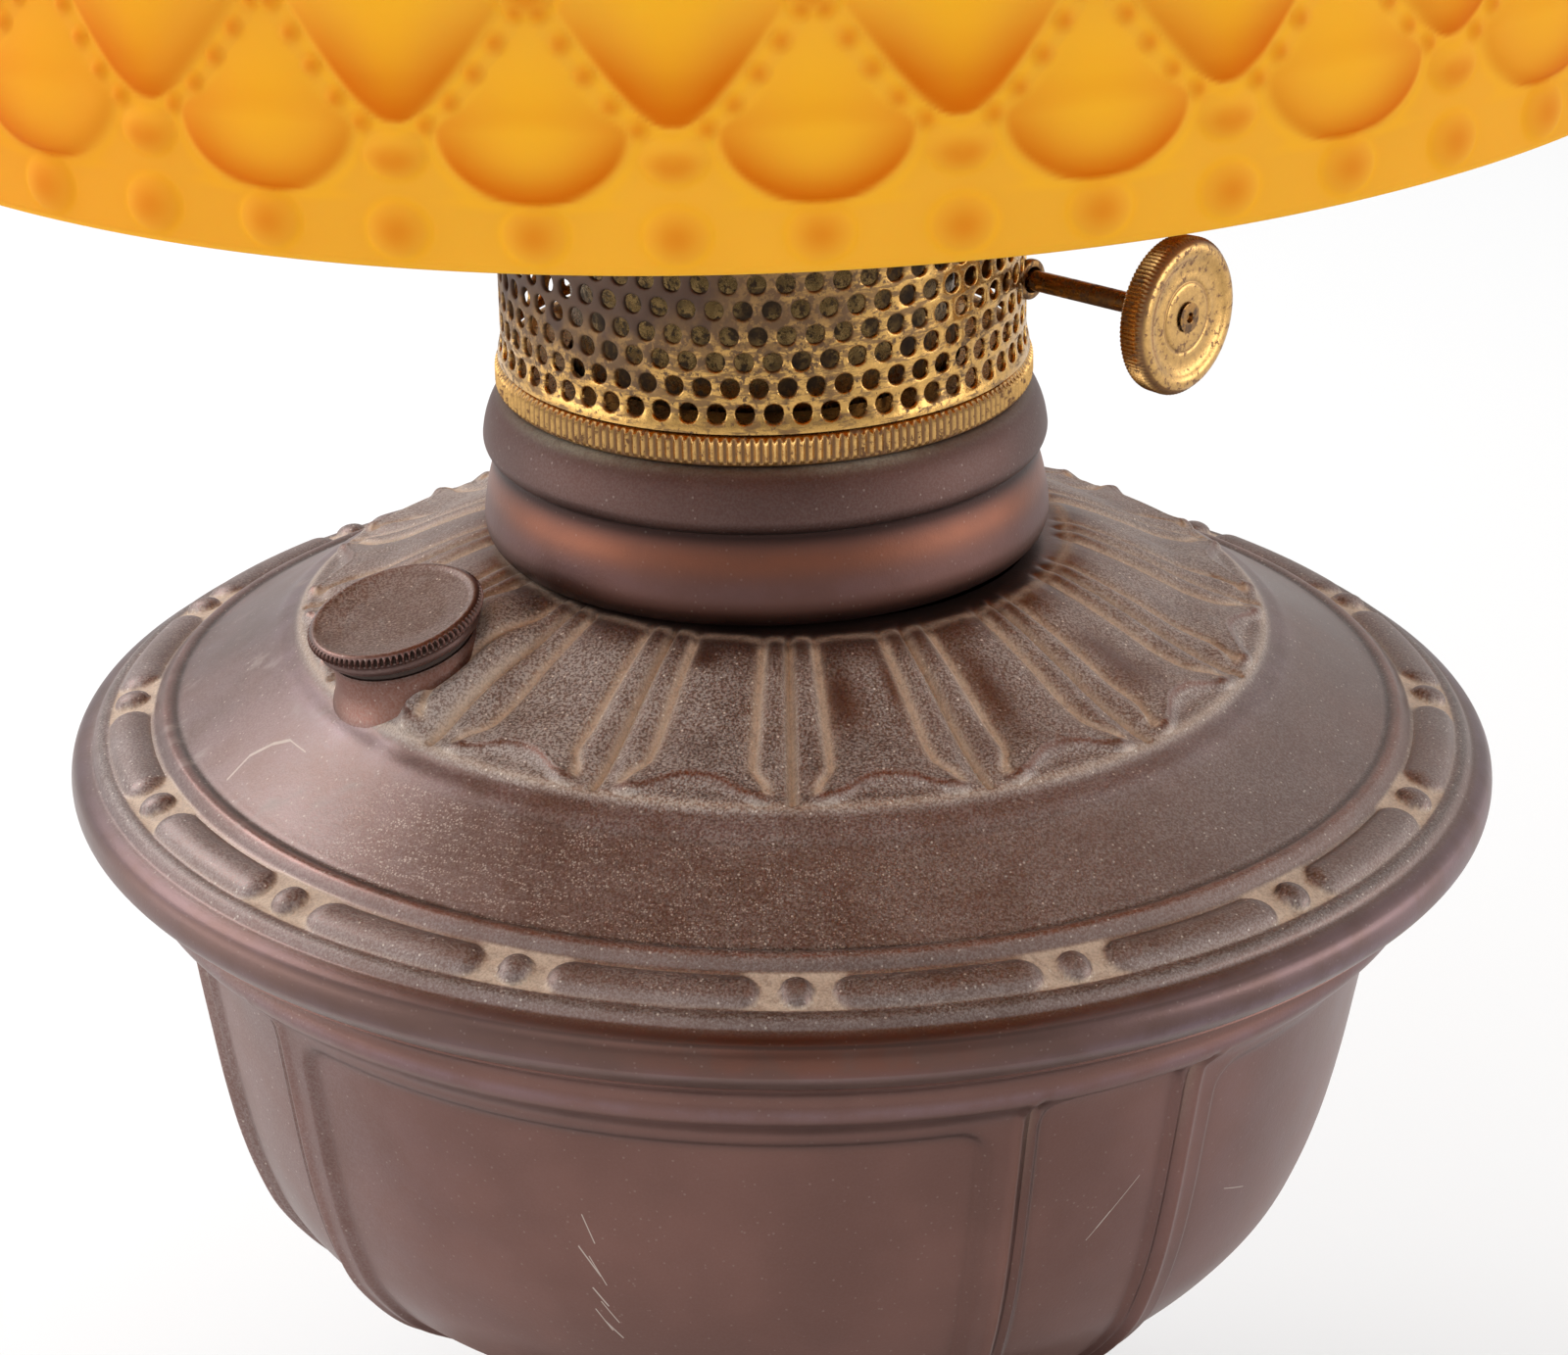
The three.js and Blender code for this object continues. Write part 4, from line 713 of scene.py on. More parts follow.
def shoulder():
    azimuths = even(PETALS * COLUMNS_PER_PETAL, PETAL_PHASE)
    from_bead = fold(azimuths, PETAL_PITCH, PETAL_PHASE)[None]
    from_middle = fold(azimuths, PETAL_PITCH, PETAL_PHASE + PETAL_PITCH / 2)[None]
    path = shoulder_section()
    facing = normals_of(path)
    rows, place, at, top = leaf_places(path, from_middle)
    r, z, nr, nz = (np.interp(at, lengths_along(path), values) for values in (*path.T, *facing.T))
    petals = petal_relief(place, np.abs(from_bead)) * top
    tips = crest_relief(rows, from_middle) * top
    blob_off = np.hypot((np.abs(from_middle) - 7.0) / np.degrees(1 / 65.3), place - 65.2)
    tips = tips + 0.25 * bell(blob_off, 0.8) * top
    in_border = (rows > 86) & (rows < 94) & (path[:, 1] > 7.0)[:, None]
    channel = border_relief(rows, from_bead) * in_border
    relief = petals + tips + channel + filler_swell(rows, azimuths[None]) * top
    layers = shoulder_layers(rows, place, azimuths, np.abs(from_bead), from_middle, channel,
                             path[:, 1])
    inner = (path[::-1] - facing[::-1] * SHOULDER_WALL)[::12]
    inner[:, 1] = np.maximum(inner[:, 1], 0.0)
    piece = skin("font_shoulder_skin", r + nr * relief, z + nz * relief, inner, SHOULDER_BASE,
                 azimuths, FONT_PLACE, **layers)
    dress(piece, BRONZE, "font", "bronze", "font_shoulder")


# ---------------------------------------------------------------- bowl of the font
NARROW_AZIMUTH, NARROW_HALF = 29.5, 9.25
CREASE_BAND = 3.4
PANEL_DEPTH, BOWL_WALL, BOWL_HOLE = 1.05, 1.2, 14.5
# Radius and height above the bowl's base, up the outside
BOWL_PATH = [
    (30.0, 0.0), (33.0, 4.8), (44.0, 10.3), (50.7, 14.6), (60.0, 20.6), (66.7, 25.1), (71.6, 30.3),
    (74.5, 34.4), (77.2, 40.5), (79.0, 46.0), (81.1, 55.0), (82.7, 64.0), (83.9, 71.0), (84.5, 74.5),
    (85.4, 77.4), (87.6, 79.6), (89.4, 81.0), (90.0, 82.4), (89.7, 84.0), (90.2, 85.4), (92.4, 87.0),
    (94.2, 88.2), (95.2, 88.75),
]
PANEL_TOP, NARROW_TOP, PANEL_CORNER = 76.0, 79.5, 5.0


def panel_field(azimuths, heights, radii, half, top):
    """Distance in millimetres inside a panel with rounded upper corners; negative outside it."""
    across = half - np.abs(azimuths) / np.degrees(1 / radii)
    down = top - heights
    corner = PANEL_CORNER
    inside = np.minimum(across, down)
    off = [np.clip(corner - distance, 0, None) for distance in (across, down)]
    return np.where((across < corner) & (down < corner), corner - np.hypot(*off), inside)


def bowl():
    base = np.arange(0, 90, 0.75)
    creases = np.array([NARROW_AZIMUTH - NARROW_HALF, NARROW_AZIMUTH + NARROW_HALF])
    fine = np.concatenate([crease + np.arange(-4.6, 4.6, 0.17) for crease in creases])
    quarter = np.unique(np.round(np.concatenate([base, fine]) % 90, 3))
    quarter = quarter[np.concatenate([[True], np.diff(quarter) > 0.1])]
    azimuths = np.concatenate([quarter + 90 * k for k in range(4)])
    path = spline(BOWL_PATH, 0.8)
    facing = normals_of(path)
    radii, heights = path[:, :1], path[:, 1:]
    from_narrow = fold(azimuths, 90, NARROW_AZIMUTH)[None]
    from_wide = fold(azimuths, 90, NARROW_AZIMUTH + 45)[None]
    mm_per_degree = np.radians(radii)
    crease_off = (np.abs(from_narrow) - NARROW_HALF) * mm_per_degree
    fade = smoothstep(3.0, 8.0, heights)
    wide_half = (45 - NARROW_HALF) * mm_per_degree - CREASE_BAND * (0.45 + 0.55 * radii / 85)
    narrow_half = NARROW_HALF * mm_per_degree - 2.2 * (0.45 + 0.55 * radii / 85)
    wide = panel_field(from_wide, heights, radii, wide_half, PANEL_TOP)
    narrow = panel_field(from_narrow, heights, radii, narrow_half, NARROW_TOP)
    relief = -PANEL_DEPTH * smoothstep(0, 1.8, wide) - 0.9 * PANEL_DEPTH * smoothstep(0, 1.3, narrow)
    below_top = smoothstep(NARROW_TOP + 2.5, NARROW_TOP - 1.0, heights)
    relief = relief + 0.55 * bell(crease_off, 0.7) * below_top
    relief = (relief - 0.6 * bell(crease_off + 1.4, 0.7) * below_top) * fade
    recess = 0.2 * bell(crease_off + 1.25, 0.6) * below_top * smoothstep(60, 80, heights)
    ridge = 0.3 * bell(crease_off, 0.4) * below_top * fade
    sideways = np.abs(fold(azimuths, 360))[None]
    # Painted sheen: lilac towards the bowl's sides and along its top edge.
    bloom = 0.14 * smoothstep(18, 48, sideways) * smoothstep(84, 78, heights)
    bloom = bloom + 0.5 * bell(heights - 82.4, 0.7)
    # Painted shade: the dark layer darkens the panels' edges, beside the creases and the front.
    frame_edge = 0.28 * bell(wide - 0.9, 1.2) + 0.25 * bell(narrow - 0.7, 1.0)
    frame_edge = frame_edge + 0.22 * bell(crease_off + 1.4, 0.9)
    dark = np.clip(frame_edge * below_top * fade + 0.2 * bell(sideways, 26), 0, 1)
    # Painted light: dust only towards the bowl's left side.
    from_left = np.clip(-np.sin(np.radians(azimuths)), 0, 1)[None]
    dusty = 0.02 + 0.26 * smoothstep(0.55, 0.95, from_left)
    inner = (path[::-1] - facing[::-1] * (BOWL_WALL + PANEL_DEPTH))[::10]
    inner[:, 0] = np.maximum(inner[:, 0], BOWL_HOLE + 0.5)
    rest = np.concatenate([inner, [(BOWL_HOLE, 1.4), (BOWL_HOLE, 0)]])
    piece = skin("font_bowl_skin", radii + facing[:, :1] * relief, heights + facing[:, 1:] * relief,
                 rest, BOWL_BASE, azimuths, FONT_PLACE, recess=recess, ridge=ridge, bloom=bloom,
                 dark=dark, dusty=dusty)
    dress(piece, BOWL_BRONZE, "font", "bronze", "font_bowl")


# ---------------------------------------------------------------- collar
COLLAR_SIDES = 256
# Height of the upper swell, under the collar's top
UPPER_SWELL = 8.7


def collar():
    low, high = COLLAR_BASE, COLLAR_TOP
    crease = high - UPPER_SWELL
    path = spline([
        (33.0, low), (35.8, low + 0.05), (37.4, low + 0.9), (38.3, low + 2.3), (38.5, low + 3.6),
        (38.35, low + 5.6), (37.9, low + 8.2), (37.25, low + 10.9), (36.95, crease - 0.7),
        (36.85, crease), (37.3, crease + 0.3), (37.95, crease + 0.9), (38.3, crease + 1.8),
        (38.2, crease + 3.2), (37.7, crease + 5.2), (36.7, crease + 7.3), (35.9, crease + 8.3),
        (35.3, high), (34.4, high),
    ], 0.25)
    section = np.concatenate([path, [(32.4, high), (32.4, low)]])
    azimuths, height = even(COLLAR_SIDES), section[:, 1]
    above = smoothstep(crease - 0.2, crease + 0.3, height)
    # Painted shade: the dark layer darkens just under the crease and towards the base, and a little on the
    # upper swell.
    under = bell(height - crease + 0.3, 1.2) + 0.9 * smoothstep(low + 4.8, low + 1.4, height)
    # The lower swell's copper band is worn copper and a painted reflection of the amber shade.
    band = 0.12 + 0.62 * bell(height - low - 9.4, 2.0) + 0.3 * bell(height - low - 2.2, 1.2)
    crusted = bell(fold(azimuths, 360, -45), 20) + 0.8 * bell(fold(azimuths, 360, 22), 14)
    crust = 0.9 * bell(height - high + 0.3, 0.7)[:, None] * (0.3 + 0.7 * crusted)[None]
    piece = lathe("collar_rings", section[:, 0], height, azimuths, recess=crust,
                  ridge=(1 - above) * band, dusty=0.08 * above,
                  dark=np.clip(under, 0, 1) + above * 0.1,
                  bloom=0.12 * bell(height - low - 5.6, 1.7))
    dress(piece, COPPER, "font", "copper_bronze", "font_collar")


# ---------------------------------------------------------------- burner
KNURL_TEETH, KNURL_RADIUS, KNURL_DEPTH = 192, 36.1, 0.26
BASKET_RADIUS, BASKET_WALL = 35.6, 0.6
HOLES_ROUND, HOLE_PHASE = 60, 1.83
HOLE_RADIUS, ROW_PITCH = 1.3, 3.48
FIRST_ROW, TUBE_RADIUS = 2.6, 25.8


def knurled_ring():
    low, high = span("burner_ring")
    base = COLLAR_TOP + 0.3
    azimuths, tooth = teeth(KNURL_TEETH, 5)
    r = KNURL_RADIUS
    outline = rounded([
        (26.4, low), (31.6, low), (31.6, base), (r - 0.3, base), (r, base + 0.7), (r, high - 0.9),
        (r - 0.5, high), (26.4, high),
    ], 0.35)
    height, radius = outline[:, 1][:, None], outline[:, 0][:, None]
    milled = smoothstep(base + 0.1, base + 0.7, height) * smoothstep(high - 0.1, high - 0.7, height)
    milled = milled * (radius > r - 0.6)
    piece = lathe("knurled_ring", radius + KNURL_DEPTH * tooth * milled, height, azimuths, sharp=60,
                  recess=milled * smoothstep(0.1, -0.8, tooth) * 0.8,
                  stain=0.08 + 0.4 * smoothstep(base + 1.4, base, height))
    dress(piece, BRASS, "font", "brass", "burner_ring")


def pierced_skin():
    """Azimuth, height and depth of the net's points, its faces and its top. Each hole's cell has
    rings of sixteen points from the cell's edge to the hole, outside and inside."""
    edge = np.array([(1, 0), (1, .5), (1, 1), (.5, 1), (0, 1), (-.5, 1), (-1, 1), (-1, .5), (-1, 0),
                     (-1, -.5), (-1, -1), (-.5, -1), (0, -1), (.5, -1), (1, -1), (1, -.5)], float)
    sides = len(edge)
    angle = np.arctan2(edge[:, 1], edge[:, 0])
    disc = np.stack([np.cos(angle), np.sin(angle)], -1)
    half_width, half_height = 180 / HOLES_ROUND, ROW_PITCH / 2
    arc = np.radians(1) * BASKET_RADIUS

    def ring(radius):
        return disc * (radius / arc, radius)

    cell, hole = edge * (half_width, half_height), ring(HOLE_RADIUS)
    rings = [(cell, 0.0), (ring(HOLE_RADIUS + 0.28), 0.0), (ring(HOLE_RADIUS + 0.08), -0.07),
             (hole, -0.25), (hole, -BASKET_WALL), (cell, -BASKET_WALL)]
    first = BASKET_BASE + FIRST_ROW
    rows = int((BASKET_TOP - first - 1.5) / ROW_PITCH)
    centres = np.array([
        (HOLE_PHASE + (column + (row % 2) / 2) * 2 * half_width, first + row * ROW_PITCH, 0)
        for row in range(rows) for column in range(HOLES_ROUND)])
    place = np.stack([np.concatenate([flat, np.full((sides, 1), depth)], 1)
                      for flat, depth in rings])
    place = place[None] + centres[:, None, None]
    azimuth, height, depth = np.moveaxis(place, -1, 0)
    faces = grid_faces(len(rings), sides, closed=False)
    faces = faces + (np.arange(len(centres)) * len(rings) * sides)[:, None, None]
    top = first + (rows - 1) * ROW_PITCH + half_height
    return azimuth.ravel(), height.ravel(), depth.ravel(), faces.reshape(-1, 4), top


def basket():
    azimuth, height, depth, faces, net_top = pierced_skin()
    net_low = BASKET_BASE + FIRST_ROW - ROW_PITCH / 2
    columns = HOLES_ROUND * 4
    turn = HOLE_PHASE + np.arange(columns) * 360 / columns
    places, faces, count = [(azimuth, height, depth)], [faces], len(azimuth)
    # Plain bands under and over the net, each without the row of faces that is towards the net
    for low, high, missing in ((BASKET_BASE, net_low, 3), (net_top, BASKET_TOP, 7)):
        levels = np.linspace(low, high, 4)
        levels = np.concatenate([levels, levels[::-1]])[:, None]
        inward = np.repeat([0.0, -BASKET_WALL], 4)[:, None]
        grids = np.broadcast_arrays(turn, levels, inward)
        places.append([grid.ravel() for grid in grids])
        made = grid_faces(len(levels), columns).reshape(len(levels), columns, 4)
        faces.append(np.delete(made, missing, 0).reshape(-1, 4) + count)
        count += grids[0].size
    azimuth, height, depth = map(np.concatenate, zip(*places))
    flare = 0.45 * smoothstep(BASKET_BASE + 3.0, BASKET_BASE, height)
    radius = BASKET_RADIUS - 0.15 + depth + flare
    a = np.radians(azimuth)
    points = np.stack([radius * np.sin(a), -radius * np.cos(a), height], -1)
    turn = fold(azimuth, 360)
    up = smoothstep(BASKET_BASE + 2, BASKET_BASE + 20, height)
    left = smoothstep(10, -50, turn - 22 * up + 12) * smoothstep(-178, -130, turn)
    # The stain layer is stronger towards the left, higher up and at the front, and weaker on the lowest
    # rows.
    stain = 0.9 * left * (0.45 + 0.55 * up) + 0.12 * up * smoothstep(45, 10, turn)
    stain = stain + 0.30 * bell(turn + 4, 28) + 0.25 * up * bell(turn - 17, 11)
    stain = np.clip(stain - 0.3 * smoothstep(BASKET_BASE + 7, BASKET_BASE + 1, height), 0, 1)
    piece = build("pierced_basket", points, np.concatenate(faces), sharp=50, stain=stain, recess=0.0)
    dress(weld(piece, 2e-6), BASKET_BRASS, "font", "brass", "burner_basket")


def burner_inside():
    low, high = span("burner_tube")
    tube = turned("burner_inner_tube", ring_outline(TUBE_RADIUS - 0.8, TUBE_RADIUS, low, high), 128,
                  0.2, stain=0.3, recess=0.0)
    dress(tube, INNER_BRASS_SHADED, "font", "brass", "burner_tube")
    low, high = span("burner_cap")
    plate = low + 5.0
    cap = turned("burner_top", [
        (5.4, plate), (32.6, plate), (32.6, low), (34.0, low), (34.0, plate), (36.4, plate),
        (36.4, plate + 1.5), (10.7, high), (5.4, high),
    ], 128, 0.5, stain=0.2, recess=0.0)
    dress(cap, BRASS, "font", "brass", "burner_cap")


# ---------------------------------------------------------------- wick raiser and its knob
RAISER_AZIMUTH, RAISER_OFFSET = 48.8, 19.8
SHAFT_RADIUS, SHAFT_START, KNOB_RADIUS, KNOB_THICKNESS, KNOB_FACE = 1.4, -17.5, 10.4, 4.7, 56.5
KNOB_TEETH, KNOB_MILLING = 104, 0.17


def raiser_place():
    """Place of the shaft: +Z along it towards the knob, +Y up."""
    angle = math.radians(RAISER_AZIMUTH)
    along = Vector((math.sin(angle), -math.cos(angle), 0))
    aside = Vector((math.cos(angle), math.sin(angle), 0))
    low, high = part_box("raiser_shaft")
    matrix = Matrix((aside, Vector((0, 0, 1)), along)).transposed().to_4x4()
    matrix.translation = aside * RAISER_OFFSET + Vector((0, 0, (low.z + high.z) / 2 / MM))
    return matrix


RAISER_PLACE = raiser_place()


def knob():
    r, face, back = KNOB_RADIUS, KNOB_FACE, KNOB_FACE - KNOB_THICKNESS
    outline = rounded([
        (1.45, back + 0.2), (0.86 * r, back + 0.2), (r - 0.15, back + 0.9), (r, face - 1.2),
        (r - 0.55, face - 0.25), (r - 1.3, face), (0.80 * r, face - 0.05), (0.72 * r, face - 0.5),
        (0.60 * r, face - 0.66), (0.49 * r, face - 0.55), (0.455 * r, face - 0.72),
        (0.42 * r, face - 0.45), (1.45, face - 0.4),
    ], 0.5, 4)
    azimuths, tooth = teeth(KNOB_TEETH, 6)
    radius, height = outline[:, 0][:, None], outline[:, 1][:, None]
    milled = smoothstep(back + 0.5, back + 1.0, height) * smoothstep(face - 0.5, face - 1.2, height)
    milled = milled * (radius > r - 0.6)
    groove = 0.35 * bell(radius - 0.455 * r, 0.22) * (height > face - 1.5)
    recess = np.maximum(milled * smoothstep(0.0, -0.9, tooth) * 0.3, groove)
    recess = np.maximum(recess, 0.8 * bell(radius - r + 0.35, 0.3) * (height > face - 1.3))
    piece = lathe("knob_head", radius + KNOB_MILLING * tooth * milled, height, azimuths,
                  place=RAISER_PLACE, sharp=50, recess=recess,
                  stain=0.12 + 0.2 * smoothstep(0.8 * r, r, radius) * (1 - milled))
    dress(piece, BRASS, "wick_knob", "brass", "wick_knob")
    r, tip = SHAFT_RADIUS, face - 0.2
    shaft = turned("knob_shaft", [
        (0, SHAFT_START), (r, SHAFT_START), (r, back), (r, tip), (r + 0.55, tip),
        (r + 0.65, tip + 0.12), (0.7, tip + 0.18), (0.55, tip - 0.5), (0, tip - 0.55),
    ], 48, 0.12, closed=False, place=RAISER_PLACE, stain=0.25, recess=0.0)
    dress(shaft, AGED_BRASS, "wick_knob", "aged_brass", "raiser_shaft")
    start = math.sqrt(TUBE_RADIUS ** 2 - (RAISER_OFFSET - 2.4) ** 2) + 0.6
    leave = math.sqrt(BASKET_RADIUS ** 2 - RAISER_OFFSET ** 2)
    bushing = turned("shaft_bushing", [
        (1.75, start), (2.4, start), (2.4, leave - 0.2), (2.75, leave), (2.75, leave + 0.9),
        (2.3, leave + 1.1), (1.75, leave + 1.1),
    ], 48, 0.2, place=RAISER_PLACE, stain=0.45, recess=0.0)
    dress(bushing, AGED_BRASS, "font", "aged_brass", "raiser_bushing")


# ---------------------------------------------------------------- filler and its cap
FILLER_TILT = 15.8
CAP_RADIUS, CAP_NOTCHES, PER_NOTCH = 11.75, 88, 6
# Lean of the notches, in radians of their wave for each millimetre of height
CAP_TWIST = 1.1


def filler_place():
    """Place of the filler on the leaning font: +Z along its neck."""
    angle, tilt = math.radians(FILLER_AZIMUTH), math.radians(FILLER_TILT)
    outward = Vector((math.sin(angle), -math.cos(angle), 0))
    up = Vector((0, 0, 1))
    along = up * math.cos(tilt) + outward * math.sin(tilt)
    across = outward * math.cos(tilt) - up * math.sin(tilt)
    matrix = Matrix((across, along.cross(across), along)).transposed().to_4x4()
    matrix.translation = outward * FILLER_PLACE + up * (SHOULDER_BASE + 28.6)
    return FONT_PLACE @ matrix


FILLER_FRAME = filler_place()


def filler():
    neck_path = spline([
        (12.9, -5.4), (12.3, -3.6), (11.4, -1.8), (10.7, -0.4), (10.2, 0.9), (9.9, 2.6), (9.8, 4.6),
    ], 0.3)
    section = np.concatenate([neck_path, [(8.3, 4.6), (8.3, -5.4)]])
    height = section[:, 1]
    # Painted shade: the neck's top is darkened under the cap.
    neck = lathe("filler_neck_skin", section[:, 0], height, even(128), place=FILLER_FRAME,
                 ridge=smoothstep(-3.4, -0.5, height), recess=0.5 * smoothstep(-2.6, -4.0, height),
                 bloom=0.15, dusty=0.22, dark=0.5 * smoothstep(3.6, 4.6, height))
    dress(neck, COPPER, "font", "copper_bronze", "filler_neck")
    seal = turned("filler_seal", ring_outline(8.3, 9.7, 4.75, 5.7), 128, 0.2, place=FILLER_FRAME)
    dress(seal, GASKET, "filler_cap", "gasket", "filler_gasket")
    band, ring_low, top = 6.0, 7.65, 9.45
    r = CAP_RADIUS
    outline = rounded([
        (0, 1.2), (7.9, 1.2), (7.9, band), (10.9, band), (11.1, band + 0.5), (11.0, ring_low - 0.25),
        (r - 0.25, ring_low), (r, ring_low + 0.5), (r, top - 0.75), (r - 0.35, top - 0.2),
        (r - 0.9, top), (r - 1.6, top - 0.45), (0.6 * r, top - 0.95), (0, top - 1.1),
    ], 0.35, 4, closed=False)
    columns = CAP_NOTCHES * PER_NOTCH
    radius, height = outline[:, 0][:, None], outline[:, 1][:, None]
    twist = (height - ring_low) * CAP_TWIST
    notch = np.cos(np.arange(columns)[None] * 2 * np.pi / PER_NOTCH - twist)
    milled = smoothstep(ring_low, ring_low + 0.35, height) * smoothstep(top - 0.3, top - 0.7, height)
    milled = milled * (radius > r - 0.8)
    rounded_edge = 0.9 * bell(radius - r + 0.9, 0.5) * (height > top - 1)
    ridge = np.maximum(0.8 * milled * smoothstep(0, 1, notch), rounded_edge)
    dusty = 0.55 * (height > top - 1.6) * smoothstep(r - 0.4, r - 1.0, radius) + 0.06
    # Painted shade: the dark layer darkens the gaps between the cap's notches.
    cap = lathe("filler_cap_head", radius + milled * (0.34 * notch - 0.14), height, even(columns),
                closed=False, place=FILLER_FRAME, sharp=50, ridge=0.6 * ridge, bloom=0.1,
                dusty=dusty, recess=milled * smoothstep(0, -0.9, notch) * 0.15,
                dark=milled * smoothstep(0.2, -0.8, notch) * 0.8)
    dress(weld(cap), BRONZE, "filler_cap", "bronze", "filler_cap")


# ---------------------------------------------------------------- glass shade
LOBES = 26
LOBE_PITCH = 360 / LOBES
LOBE_PHASE = 2.89
SHADE_RADIUS, CROWN_RADIUS = 127.0, 38.5
DOME_HEIGHT = 132.0
ROUNDNESS = 0.9
GLASS_WALL = 2.4
QUILT_COLUMNS = 72
QUILT_STEP = 15.5
FIRST_MIDDLE = 31.0
# Half-width of the lobes and of the lozenges above them, against height
LOBE_LOW, LOBE_WIDE, LOBE_HALF, LOBE_FULLNESS = 7.7, 16.2, 11.0, 2.0
LOBE_SIDE = [(16.2, 11.0), (17.4, 9.9), (19.4, 7.0), (22.4, 4.4), (25.6, 2.0), (28.3, 0.0)]
LOZENGE_SIDE = [(13.0, -14.0), (15.5, -2.6), (16.1, 0.0), (16.6, 1.6), (18.9, 4.8), (22.2, 7.6),
                (25.6, 10.1), (28.9, 12.4), (31.0, 13.4)]
# Height of the lobes' brightest place, half-width outside every form, and rows of lozenges
LOBE_GLOW, OUTSIDE, QUILT_ROWS = 18.0, -14.0, 12
# Beads of the chains beside a lozenge: distance from its middle and height
CHAIN = [(3.7, 16.4), (6.6, 18.9), (9.3, 22.2), (11.8, 25.6), (14.1, 28.9)]
CHAIN_RADIUS, CHAIN_HEIGHT = 1.2, 0.5
KNOT_UP, KNOT_WIDE, KNOT_HIGH = 12.9, 3.7, 2.8
RIM_BEAD_UP, RIM_BEAD_WIDE, RIM_BEAD_HIGH = 4.6, 3.8, 3.4


def dome(share, inward=0.0):
    """Radius and height above the rim of the dome's profile."""
    angle = np.asarray(share) * np.pi / 2
    across = np.clip(np.cos(angle), 0, None) ** ROUNDNESS
    up = np.clip(np.sin(angle), 0, None) ** ROUNDNESS
    radius = CROWN_RADIUS - inward + (SHADE_RADIUS - CROWN_RADIUS) * across
    return np.stack([radius, (DOME_HEIGHT - inward) * up], -1)


def side_distances(across, up, table):
    """Distances inside the left and the right side of an upright form, negative outside, and its
    half-width, which the table gives against height."""
    heights, halves = np.array(table).T
    levels = np.linspace(heights[0], heights[-1], 240)
    width = np.interp(levels, heights, halves)
    calm = np.ones(13) / 13
    width[6:-6] = np.convolve(width, calm, "valid")
    slope = np.gradient(width, levels)
    half = np.interp(up, levels, width, left=OUTSIDE, right=OUTSIDE)
    steep = np.sqrt(1 + np.interp(up, levels, slope) ** 2)
    return (half + across) / steep, (half - across) / steep, half


def round_edge(distance, bevel=3.0):
    """0 at the outline, rising to 1 at the bevel's width inside it."""
    return 1 - (1 - np.clip(distance / bevel, 0, 1)) ** 2


def band_inside(distance):
    """A band of deep colour inside an outline, strongest near it."""
    return smoothstep(-0.1, 1.1, distance) * np.exp(-(np.clip(distance - 1.1, 0, None) / 4.6) ** 1.4)


def bead(off_x, off_y, wide, high, height):
    """A domed oval bead, given its half-width, half-height and height."""
    return height * np.clip(1 - (off_x / wide) ** 2 - (off_y / high) ** 2, 0, 1) ** 0.75


